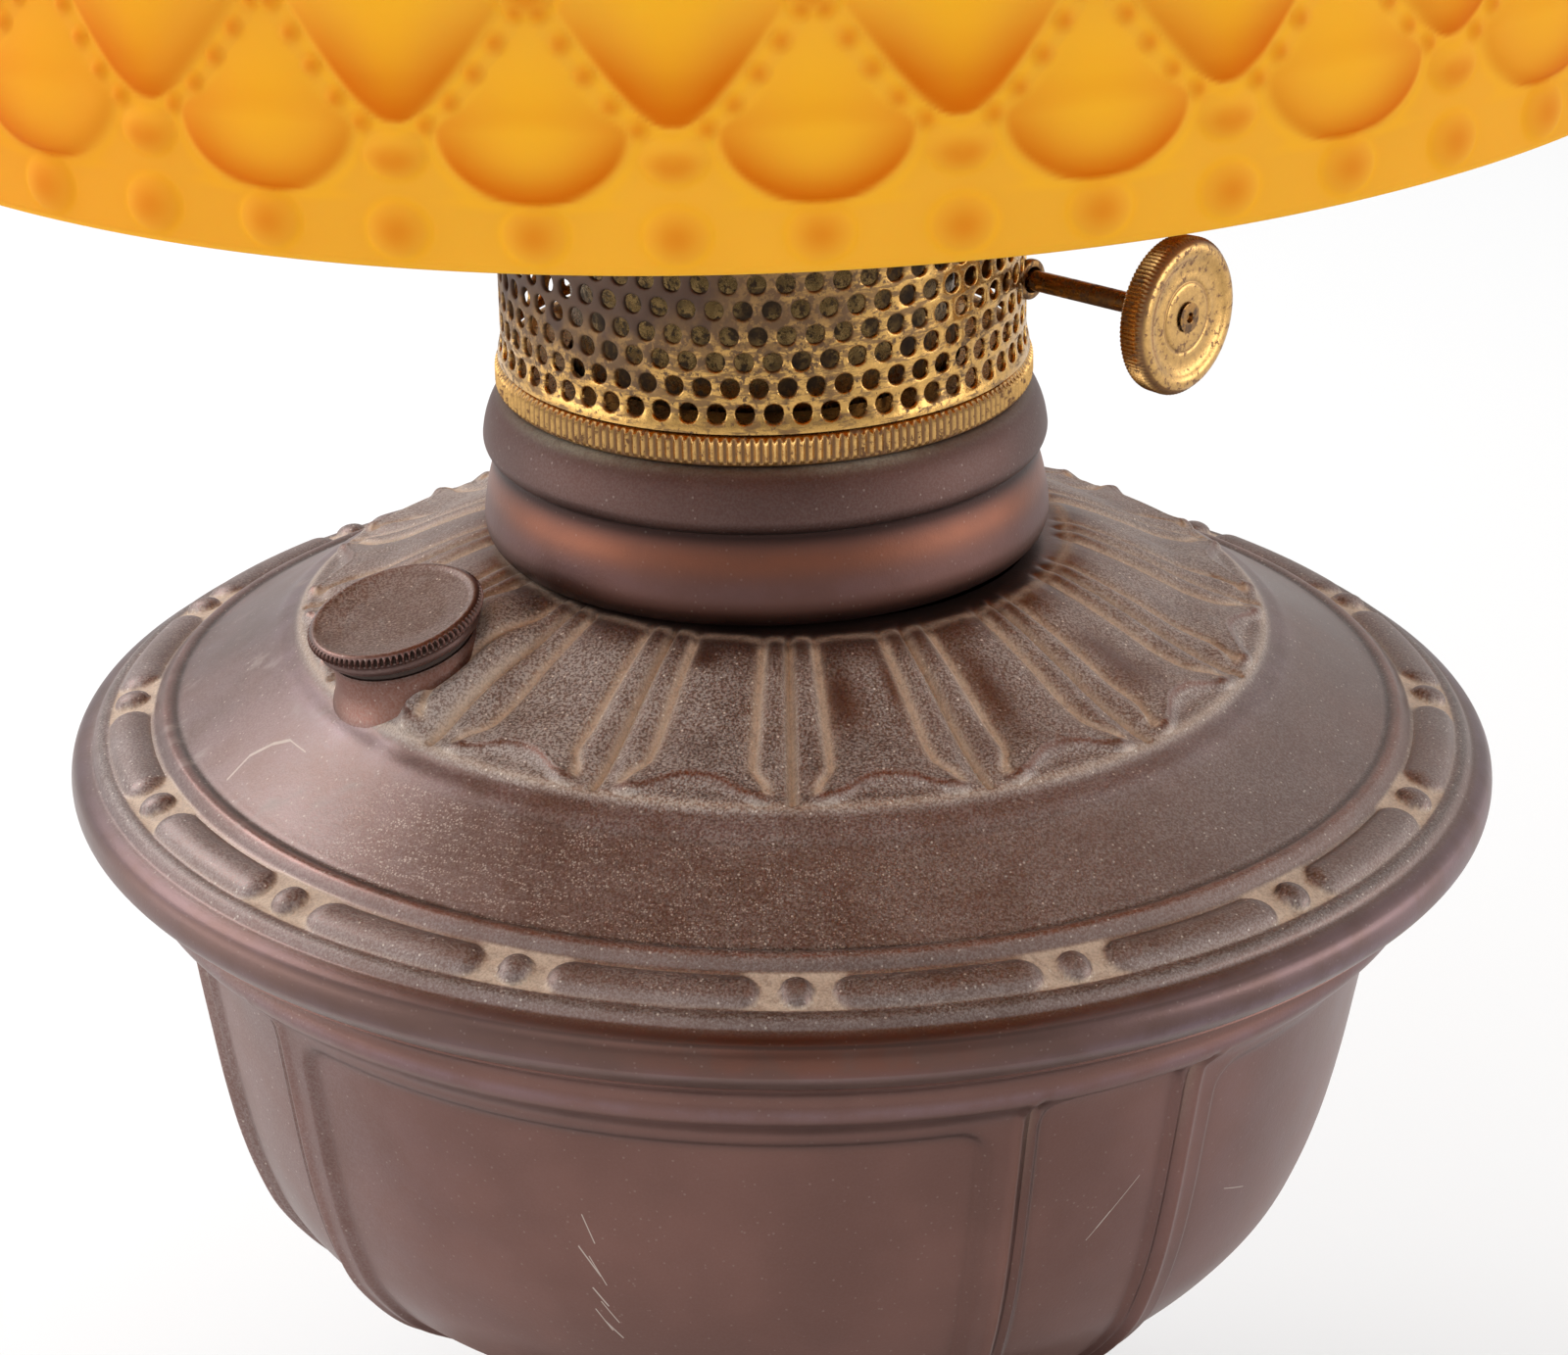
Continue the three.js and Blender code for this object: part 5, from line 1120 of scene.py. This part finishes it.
def quilt_relief(across, up, side):
    """Relief of the pressed quilt, and where its colour is deep or pale; the deep colour also carries
    painted shade and the pale colour painted highlights. across is millimetres from a lobe's middle
    at the rim's scale, up is millimetres along the glass at the same scale, and side runs from -1 on
    the left to 1 on the right."""
    pitch = LOBE_PITCH * np.radians(SHADE_RADIUS)
    half = pitch / 2
    relief, deep, pale = (np.zeros_like(up + across) for _ in range(3))
    # Painted shade: each form's deep band is weaker on its left edge on the shade's right part, and on its
    # right edge on its left part.
    left_bands, right_bands = (1 - 0.6 * smoothstep(0.1, 0.6, way * side) for way in (1, -1))

    def add_cell(shifted, level, table, lower, shown, bright=None):
        nonlocal relief, deep, pale
        one, other, half_width = side_distances(shifted, level, table)
        distance = np.minimum(one, other)
        inside = distance > 0
        puff = round_edge(one) * round_edge(other)
        crown = smoothstep(0, 9.0, one) * smoothstep(0, 9.0, other)
        middle = smoothstep(0.25, 0.8, distance / np.maximum(half_width, 3))
        if bright is not None:
            crown, middle = bright * round_edge(one, 6) * round_edge(other, 6), bright
        relief = np.maximum(relief, np.where(inside, (0.85 * puff + 0.5 * crown) * shown, 0))
        edge = 1 - (1 - band_inside(one) * left_bands) * (1 - band_inside(other) * right_bands)
        deep = np.maximum(deep, edge * smoothstep(-0.3, 0.3, distance) * (0.1 + 0.9 * lower) * shown)
        pale = np.maximum(pale, 0.95 * middle * inside)
        # Painted highlight: a pale line just outside the lower part of each form.
        pale = np.maximum(pale, 0.7 * bell(distance + 0.7, 0.5) * ~inside * lower)

    arc = np.linspace(LOBE_LOW, LOBE_WIDE, 24)[:-1]
    drop = ((LOBE_WIDE - arc) / (LOBE_WIDE - LOBE_LOW)) ** LOBE_FULLNESS
    low_half = LOBE_HALF * np.clip(1 - drop, 0, 1) ** (1 / LOBE_FULLNESS)
    lobe = [(LOBE_LOW - 2.2, OUTSIDE), (LOBE_LOW - 0.4, -3.5), *zip(arc, low_half), *LOBE_SIDE]
    from_lobe = fold(across, pitch)
    # Painted highlight: a pale glow in each lobe's middle.
    glow = bell(from_lobe, 6.5) * bell(up - LOBE_GLOW, 8.0)
    add_cell(from_lobe, up, lobe, smoothstep(25, 10, up), 1 - 0.95 * smoothstep(11, 27, up), glow)
    upper_half = [(2 * FIRST_MIDDLE - level, wide) for level, wide in LOZENGE_SIDE[-2::-1]]
    lozenge = LOZENGE_SIDE + upper_half
    for row in range(QUILT_ROWS):
        shifted = fold(across, pitch, half if row % 2 == 0 else 0)
        level = up - row * QUILT_STEP
        lower = smoothstep(FIRST_MIDDLE + 2, FIRST_MIDDLE - 11, level)
        shown = 1 - 0.9 * smoothstep(FIRST_MIDDLE, FIRST_MIDDLE + 12, level)
        add_cell(shifted, level, lozenge, lower, shown)
        for way in (-1, 1):
            for place, height in CHAIN:
                off_x, off_y = shifted - way * place, level - height
                pearl = bead(off_x, off_y, CHAIN_RADIUS, CHAIN_RADIUS, CHAIN_HEIGHT)
                relief = np.maximum(relief, pearl)
                deep = np.maximum(deep, 0.65 * bell(np.hypot(off_x, off_y), 1.1))
        knot_at = KNOT_UP if row == 0 else FIRST_MIDDLE - QUILT_STEP
        off_y = level - knot_at
        relief = np.maximum(relief, bead(shifted, off_y, KNOT_WIDE, KNOT_HIGH, 0.9))
        ring = np.hypot(shifted / KNOT_WIDE, off_y / KNOT_HIGH)
        # Painted shade and highlight: a deep ring on the lower half of each knot and a pale crescent along
        # its lower edge.
        deep = np.maximum(deep, 0.62 * bell(ring - 0.2, 0.6) * smoothstep(2.6, -0.6, off_y))
        pale = np.maximum(pale, 0.6 * bell(ring - 1.0, 0.14) * smoothstep(0.5, -1.0, off_y))
    off_x, off_y = fold(across, half), up - RIM_BEAD_UP
    relief = np.maximum(relief, bead(off_x, off_y, RIM_BEAD_WIDE, RIM_BEAD_HIGH, 0.9))
    ring = np.hypot(off_x / RIM_BEAD_WIDE, off_y / RIM_BEAD_HIGH)
    deep = np.maximum(deep, 0.62 * bell(ring, 0.7))
    # Painted highlight: a pale ring round each rim bead.
    pale = np.maximum(pale, 0.8 * bell(ring - 1.0, 0.13))
    # Painted shade: the glass is deeper in colour towards the shade's left and right.
    at_sides = 0.42 * smoothstep(0.15, 0.8, -side) + 0.2 * smoothstep(0.3, 0.8, side)
    deep = deep + (1 - deep) * at_sides
    return relief, np.clip(deep, 0, 1), np.clip(pale, 0, 1)


def glass_shade():
    path = dome(np.linspace(0, 1, 4001))
    lengths = lengths_along(path)
    scaled = np.concatenate([[0], np.cumsum(np.diff(lengths) * SHADE_RADIUS / path[1:, 0])])
    stops = np.concatenate([np.arange(0.9, 50, 0.45), np.linspace(50.5, lengths[-1], 110)])
    profile = np.stack([np.interp(stops, lengths, values) for values in path.T], -1)
    facing = normals_of(profile)
    up = np.interp(stops, lengths, scaled)[:, None]
    azimuths = even(LOBES * QUILT_COLUMNS, LOBE_PHASE)
    across = (fold(azimuths, LOBE_PITCH, LOBE_PHASE) * np.radians(SHADE_RADIUS))[None]
    relief, deep, pale = quilt_relief(across, up, np.sin(np.radians(azimuths))[None])
    fading = smoothstep(lengths[-1] - 6, lengths[-1] - 20, stops)[:, None]
    relief = relief * profile[:, :1] / SHADE_RADIUS * fading
    crown = SHADE_TOP - SHADE_RIM
    collar_path = spline([(CROWN_RADIUS + 0.2, DOME_HEIGHT + 1.0), (CROWN_RADIUS, DOME_HEIGHT + 3.5),
                          (CROWN_RADIUS, crown - 1.2), (CROWN_RADIUS - 0.4, crown - 0.3),
                          (CROWN_RADIUS - 1.4, crown), (CROWN_RADIUS - 2.2, crown - 0.6)], 1.2)
    inner = dome(np.linspace(1, 0, 40), GLASS_WALL)
    inner = inner[inner[:, 1] > 0.8]
    bottom = np.array([(SHADE_RADIUS - GLASS_WALL + 0.2, 0.2), (SHADE_RADIUS - 1.2, -0.15),
                       (SHADE_RADIUS - 0.3, 0.25)])
    rest = np.concatenate([collar_path, inner, bottom])
    piece = skin("amber_shade", profile[:, :1] + facing[:, :1] * relief,
                 profile[:, 1:] + facing[:, 1:] * relief, rest, SHADE_RIM, azimuths, SHADE_PLACE,
                 deep=deep * fading, pale=pale * fading)
    dress(piece, AMBER, "glass_shade", "amber_glass", "glass_shade")


# ---------------------------------------------------------------- foot
VENTS, VENT_PHASE, VENT_PLACE, VENT_RADIUS = 6, 30, 49.9, 4.0
INLET_HEIGHT, INLET_RADIUS = 8, 3.5


def foot():
    outline = spline([
        (31.5, FOOT_TOP), (31.2, 38), (35.5, 29), (48.5, 20.5), (62.5, 14.6), (66.3, 12.8),
        (67.6, 11.4),
        (68.2, 9.5), (69.4, 6.0), (71.6, 3.8), (73.4, 3.0), (74.0, 1.6), (73.6, 0.4), (72.4, 0.0),
    ][::-1], 0.8)
    flat = np.array([(69.5, 0.0), (69.2, 0.6)])
    inner = np.array([(68.0, 4.0), (66.4, 9.0), (64.4, 11.8), (47.4, 19.0), (34.2, 28.0), (29.8, 38),
                      (29.8, FOOT_TOP - 1.4), (20.3, FOOT_TOP - 1.4), (20.3, FOOT_TOP)])
    section = np.concatenate([outline, inner[::-1], flat[::-1]])
    height = section[:, 1]
    piece = lathe("foot_skin", section[:, 0], height, even(192), bloom=0.1, dark=0.0,
                  recess=0.6 * bell(height - 13.4, 0.8), ridge=0.6 * bell(height - 2.0, 1.5),
                  dusty=0.15 * smoothstep(12, 18, height))
    holes = []
    for azimuth in even(VENTS, VENT_PHASE):
        angle = math.radians(azimuth)
        way = Vector((math.sin(angle), -math.cos(angle), 0))
        holes.append(cutter(VENT_RADIUS, 10.5, FOOT_TOP, Matrix.Translation(way * VENT_PLACE)))
    to_back = Matrix.Translation((0, 0, INLET_HEIGHT)) @ Matrix.Rotation(-math.pi / 2, 4, "X")
    cut_out(piece, [*holes, cutter(INLET_RADIUS, 66, 75, to_back)])
    dress(piece, BRONZE, "font", "bronze", "foot")
    bushing = turned("inlet_bushing", [
        (2.2, 69.2), (3.2, 69.2), (3.2, 72.3), (4.4, 72.3), (4.4, 73.4), (2.2, 73.4),
    ], 48, 0.3, place=to_back, stain=0.2, recess=0.0)
    dress(bushing, AGED_BRASS, "font", "aged_brass", "cord_bushing")


def cutter(radius, low, high, place):
    """A round bar along its own Z that cut_out takes out of a piece."""
    return turned("cutter", [(0, low), (radius, low), (radius, high), (0, high)], 32, 0.01,
                  closed=False, place=place)


def cut_out(piece, cutters):
    """Cuts the cutters out of a piece for good, and removes them."""
    for bar in cutters:
        change = piece.modifiers.new("cut", "BOOLEAN")
        change.operation, change.solver, change.object = "DIFFERENCE", "EXACT", bar
    bpy.context.view_layer.update()
    graph = bpy.context.evaluated_depsgraph_get()
    made = bpy.data.meshes.new_from_object(piece.evaluated_get(graph))
    piece.modifiers.clear()
    piece.data = made
    for bar in cutters:
        bpy.data.objects.remove(bar)


# ---------------------------------------------------------------- electric fittings
SOCKET_RADIUS, KEY_HEIGHT, KEY_REACH = 17.0, 266.6, 32.0
BEADING, BEADING_PITCH = 0.35, 2.6
# The key's shaft runs to the left, and its blade is an oval
KEY_PLACE = Matrix.Translation((0, 0, KEY_HEIGHT)) @ Matrix.Rotation(-math.pi / 2, 4, "Y")
KEY_BLADE = (7.0, 5.5)
THREAD_RADIUS, THREAD_PITCH, THREAD_DEPTH = 12.35, 3.6, 0.6
BULB_WALL = 0.8


def swept(paths, across, through=None, sides=10):
    """Points and faces of strips or wires along paths. A strip is across wide and through thick,
    and a wire, without through, is round."""
    turn = np.radians(even(sides, 180 / sides))
    points, faces = [], []
    for path in paths:
        path = np.array(path, float)
        ahead = directions(path)
        aside = np.cross(ahead, path[len(path) // 2] * (1, 1, 0) + (0, 1e-3, 0))
        aside /= np.linalg.norm(aside, axis=1)[:, None]
        out = np.cross(aside, ahead)
        corner = 0.25 if through else 1.0
        x, y = (np.sign(wave) * np.abs(wave) ** corner * size / 2
                for wave, size in ((np.cos(turn), across), (np.sin(turn), through or across)))
        ring = path[:, None] + x[None, :, None] * aside[:, None] + y[None, :, None] * out[:, None]
        centres = path[[0, -1]][:, None] * np.ones((1, sides, 1))
        ring = np.concatenate([centres[:1], ring, centres[1:]])
        faces.append(grid_faces(len(ring), sides, closed=False) + sum(len(made) for made in points))
        points.append(ring.reshape(-1, 3))
    return np.concatenate(points), np.concatenate(faces)


def socket():
    low, high = span("socket_cap")
    outer = spline([(5.3, low), (8.6, low + 0.1), (11.6, low + 1.1), (14.8, low + 3.2),
                    (17.3, low + 6.2), (18.5, low + 9.4), (18.6, low + 11.5),
                    (18.6, high - 2.4)], 0.5)
    lip = [(19.1, high - 1.9), (19.3, high - 1.2), (19.1, high - 0.5), (18.6, high), (17.7, high)]
    inner = [(17.6, low + 9.4), (13.8, low + 3.9), (8.0, low + 1.1), (5.3, low + 1.0)]
    section = np.concatenate([outer, lip, inner])
    cap = lathe("socket_cup", section[:, 0], section[:, 1], even(96), stain=0.1, recess=0.0)
    dress(cap, BRASS, "font", "brass", "socket_cap")
    low, high = span("socket_shell")
    levels = np.arange(low, high, 0.5)
    thread = BEADING * np.sin((levels - high) * 2 * np.pi / BEADING_PITCH)
    thread = thread * smoothstep(high - 11.5, high - 10.5, levels)
    thread = thread * smoothstep(high - 1.0, high - 2.2, levels)
    r = SOCKET_RADIUS
    section = np.concatenate([np.stack([r - 0.3 + thread, levels], -1),
                              [(r, high - 0.4), (r - 0.1, high), (r - 0.7, high), (r - 0.9, low)]])
    shell = lathe("socket_sleeve", section[:, 0], section[:, 1], even(96), stain=0.12, recess=0.0)
    cut_out(shell, [cutter(2.2, 10, 24, KEY_PLACE)])
    dress(shell, BRASS, "font", "brass", "socket_shell")


def switch_key():
    shaft = turned("key_shaft", [
        (0, 14.9), (1.8, 14.9), (1.8, 19), (2.4, 19.3), (2.4, 20.3), (1.8, 20.6),
        (1.7, KEY_REACH - 4), (0, KEY_REACH - 4),
    ], 32, 0.2, closed=False, place=KEY_PLACE, stain=0.3, recess=0.0)
    dress(shaft, AGED_BRASS, "switch_key", "aged_brass", "switch_key")
    share = np.array([0, 0.62, 0.8, 0.93, 1.0, 1.0, 0.93, 0.8, 0.62, 0])
    thick = np.array([-0.8, -0.9, -1.3, -1.4, -0.8, 0.8, 1.4, 1.3, 0.9, 0.8])
    azimuths = even(64)
    a = np.radians(azimuths)
    oval = 1 / np.hypot(np.sin(a) / KEY_BLADE[0], np.cos(a) / KEY_BLADE[1])
    upright = Matrix(((0, -1, 0, -KEY_REACH), (0, 0, -1, 0), (1, 0, 0, KEY_HEIGHT), (0, 0, 0, 1)))
    blade = lathe("key_blade", share[:, None] * oval[None], thick, azimuths, closed=False,
                  place=upright, stain=0.15, recess=0.0)
    dress(weld(blade), AGED_BRASS, "switch_key", "aged_brass")


def bulb():
    low, high = span("bulb_base")
    levels = np.arange(low + 5.2, high - 3.6, 0.3)
    azimuths = even(96)
    wave = np.cos(2 * np.pi * (levels[:, None] - low) / THREAD_PITCH - np.radians(azimuths)[None])
    fade = smoothstep(low + 5.2, low + 6.4, levels) * smoothstep(high - 3.6, high - 4.8, levels)
    below = np.array([(0, low), (4.2, low), (5.0, low + 0.6), (5.3, low + 1.3), (9.0, low + 2.6),
                      (11.3, low + 3.6), (12.1, low + 4.4)])
    above = np.array([(12.2, high - 3.0), (12.0, high - 0.8), (11.7, high), (11.45, high),
                      (11.45, high - 4.2), (0, high - 4.2)])
    plain = np.ones((1, len(azimuths)))
    thread = THREAD_RADIUS + THREAD_DEPTH * wave * fade[:, None]
    radii = np.concatenate([below[:, :1] * plain, thread, above[:, :1] * plain])
    heights = np.concatenate([below[:, 1], levels, above[:, 1]])
    base = lathe("bulb_screw", radii, heights, azimuths, closed=False, stain=0.05,
                 recess=bell(heights - low - 2.7, 1.3))
    dress(weld(base), BRASS, "bulb", "brass", "bulb_base")
    low, high = span("bulb_glass")
    outer = spline([(11.2, low), (11.25, low + 4), (12.4, low + 10), (16.4, low + 22),
                    (22.6, low + 34.5), (27.4, low + 46), (29.9, low + 58), (28.7, low + 69),
                    (23.6, low + 79), (14.6, low + 85.3), (6, low + 87.6), (0, high)], 1.2)
    inner = (outer - normals_of(outer) * BULB_WALL)[::-1]
    inner[0, 0] = 0
    envelope = np.concatenate([outer, inner])
    glass = lathe("bulb_envelope", np.clip(envelope[:, 0], 0, None), envelope[:, 1], even(96))
    dress(weld(glass), CLEAR, "bulb", "clear_glass", "bulb_glass")
    low, high = span("bulb_stem")
    stem = spline([(9.6, low), (8.6, low + 2), (5.2, low + 6), (3.6, low + 12), (3.3, low + 22),
                   (4.2, low + 24.5), (3.2, low + 27), (0, low + 27.6)], 0.6)
    section = np.concatenate([[(0, low)], stem])
    column = lathe("bulb_column", section[:, 0], section[:, 1], even(48), closed=False)
    dress(weld(column), FILAMENT, "bulb", "filament_glass", "bulb_stem")
    top = high - 1
    leads = [spline([(way * 2, 0, low + 24), (way * 2.6, 0, low + 30), (way * 7, 0, top - 3),
                     (way * 9, 0, top)], 0.8) for way in (-1, 1)]
    coil = [(x, 1.6 * math.sin(x * 0.9), top - 1.2 * math.cos(x * 0.35))
            for x in np.linspace(-9, 9, 40)]
    points, faces = swept([*leads, coil], 0.5, sides=8)
    dress(build("bulb_wires", points, faces), FILAMENT, "bulb", "filament_glass")


# ---------------------------------------------------------------- shade holder
ARM_WIDTH, ARM_THICKNESS, RING_WIRE = 8.0, 2.0, 2.0


def shade_holder():
    low, high = span("shade_band")
    outer = reach("shade_band")
    band = turned("holder_band", [
        (36.35, low), (outer - 0.3, low), (outer, low + 0.5), (outer, low + 1.4),
        (outer - 0.35, low + 1.9), (outer - 0.35, high - 1.9), (outer, high - 1.4),
        (outer, high - 0.5), (outer - 0.3, high), (36.35, high),
    ], 192, 0.2, stain=0.15, recess=0.0)
    dress(band, BRASS, "font", "brass", "shade_band")
    low, high = span("shade_ring")
    radius = reach("shade_ring") - RING_WIRE
    turn = np.radians(even(16))
    ring = lathe("holder_ring", radius + RING_WIRE * np.cos(turn),
                 (low + high) / 2 + RING_WIRE * np.sin(turn), even(288), stain=0.12, recess=0.0)
    dress(ring, BRASS, "font", "brass", "shade_ring")
    start = outer + 0.3 + ARM_THICKNESS / 2
    foot_low, rise = span("shade_arm_1")
    clear = span("burner_cap")[1] + 3
    a, b, c, d = np.array([(start, clear), (start + ARM_WIDTH, clear + 16), (radius, rise - 32),
                           (radius, rise)])
    u = np.linspace(0, 1, 40)[:, None]
    curve = (1 - u) ** 3 * a + 3 * u * (1 - u) ** 2 * b + 3 * u * u * (1 - u) * c + u ** 3 * d
    straight = np.stack([np.full(7, start), np.linspace(foot_low, clear, 8)[:-1]], -1)
    line = np.concatenate([straight, curve])
    for number, azimuth in enumerate(even(3, 180), 1):
        angle = math.radians(azimuth)
        way = np.array([math.sin(angle), -math.cos(angle), 0])
        path = line[:, :1] * way + line[:, 1:] * (0, 0, 1)
        points, faces = swept([path], ARM_WIDTH, ARM_THICKNESS, sides=24)
        arm = build("holder_arm_%d" % number, points, faces, stain=0.15, recess=0.0)
        dress(weld(arm), BRASS, "font", "brass", "shade_arm_%d" % number)


# ---------------------------------------------------------------- everything that stays as packed
KEPT = {
    "draught_tube": AGED_BRASS, "wick_carrier": AGED_BRASS, "raiser_pinion": BRASS,
    "lamp_pipe": STEEL, "pipe_washer": STEEL, "pipe_nut": STEEL, "socket_nut": BRASS, "socket_liner": FIBRE,
    "socket_body": PHENOLIC, "screw_shell": BRASS, "centre_contact": BRASS,
}


def keep_nodes():
    for name, material in KEPT.items():
        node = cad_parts[name]
        node.data.materials.clear()
        node.data.materials.append(material)


# ---------------------------------------------------------------- stage, light and camera
FLOOR_HALF, FLOOR_SHADE, FLOOR_GLOW = 6000, 0.72, 0.175


def stage():
    """A pale floor that looks a little lighter to the camera than to the light."""
    corners = [(x * FLOOR_HALF, y * FLOOR_HALF, 0) for x, y in ((-1, -1), (1, -1), (1, 1), (-1, 1))]
    floor = build("floor", corners, [[0, 1, 2, 3]])
    paint = Paint("pale_floor")
    rays, glossy, passing = (paint.add("ShaderNodeLightPath", output="Is %s Ray" % kind)
                             for kind in ("Camera", "Glossy", "Transmission"))
    seen = paint.math("MINIMUM", paint.math("ADD", paint.math("ADD", rays, glossy), passing), 1.0)
    diffuse = paint.add("ShaderNodeBsdfDiffuse", {"Color": (*[FLOOR_SHADE] * 3, 1)})
    glow = paint.add("ShaderNodeEmission", {"Color": (1, 1, 1, 1),
                                            "Strength": paint.times(seen, FLOOR_GLOW)})
    both = paint.add("ShaderNodeAddShader", {0: diffuse, 1: glow})
    paint.add("ShaderNodeOutputMaterial", {"Surface": both})
    floor.data.materials.append(paint.material)


SOFT_LEVEL, SIDE_GAIN = 1.06, 1.7
LIT_PLACE = (0, 0, 180)
# Place, width, height and power of each soft box
LAMPS = [("key", (-800, 450, 1000), 700, 700, 7.5),
         ("left_box", (-1000, -120, 210), 900, 360, 1.9),
         ("right_box", (1000, -160, 230), 900, 360, 2.4),
         ("front", (-500, -900, 900), 700, 700, 1.5)]


class Sky(Paint):
    """The world's nodes under construction."""

    def __init__(self, name):
        world = bpy.data.worlds.new(name)
        bpy.context.scene.world = world
        world.use_nodes = True
        self.tree = world.node_tree
        self.tree.nodes.clear()
        self.place = self.add("ShaderNodeTexCoord", output="Generated")

    def ray(self, kind):
        return self.add("ShaderNodeLightPath", output="Is %s Ray" % kind)


def light():
    """An even soft sky for diffuse light, one that is darker in front and brighter at the sides for
    gloss, white to the camera, and four soft boxes."""
    sky = Sky("studio")
    x, y = (sky.add("ShaderNodeSeparateXYZ", {0: sky.place}, output) for output in (0, 1))
    sides = sky.between(sky.math("ABSOLUTE", x), 0.5, 0.95, 1.0, SIDE_GAIN)
    gloss = sky.times(sky.between(y, -0.95, -0.1, 0.60, 0.95), sides)
    soft = sky.add("ShaderNodeMix", {0: sky.ray("Diffuse"), 2: gloss, 3: SOFT_LEVEL})
    seen = sky.add("ShaderNodeMix", {0: sky.ray("Camera"), 2: soft, 3: 1.0})
    level = sky.add("ShaderNodeBackground", {"Strength": seen})
    sky.add("ShaderNodeOutputWorld", {"Surface": level})
    for name, place, width, height, watts in LAMPS:
        data = bpy.data.lights.new(name, "AREA")
        data.energy, data.shape, data.size, data.size_y = watts, "RECTANGLE", width * MM, height * MM
        lamp = bpy.data.objects.new(name, data)
        lamp.location = Vector(place) * MM
        aim = Vector(LIT_PLACE) * MM - lamp.location
        lamp.rotation_euler = aim.to_track_quat("-Z", "Y").to_euler()
        bpy.context.scene.collection.objects.link(lamp)


def camera():
    data = bpy.data.cameras.new("camera")
    data.lens, data.sensor_width, data.sensor_fit = LENS, SENSOR, "HORIZONTAL"
    data.clip_start, data.clip_end = 0.01, 50
    seat = bpy.data.objects.new("camera", data)
    yaw, pitch, roll = map(math.radians, (CAMERA_YAW, CAMERA_PITCH, CAMERA_ROLL))
    level = Vector((math.sin(yaw), math.cos(yaw), 0))
    ahead = level * math.cos(pitch) - Vector((0, 0, math.sin(pitch)))
    right = Vector((math.cos(yaw), -math.sin(yaw), 0))
    up = right.cross(ahead)
    rolled = right * math.cos(roll) + up * math.sin(roll)
    up = up * math.cos(roll) - right * math.sin(roll)
    turn = Matrix((rolled, up, -ahead)).transposed().to_4x4()
    seat.matrix_world = Matrix.Translation(Vector(CAMERA_PLACE) * MM) @ turn
    bpy.context.scene.collection.objects.link(seat)
    bpy.context.scene.camera = seat


for make in (camera, stage, light, keep_nodes, foot, bowl, shoulder, collar, knurled_ring, basket,
             burner_inside, knob, filler, glass_shade, socket, switch_key, bulb, shade_holder):
    make()
bpy.context.scene.view_settings.view_transform = "Standard"
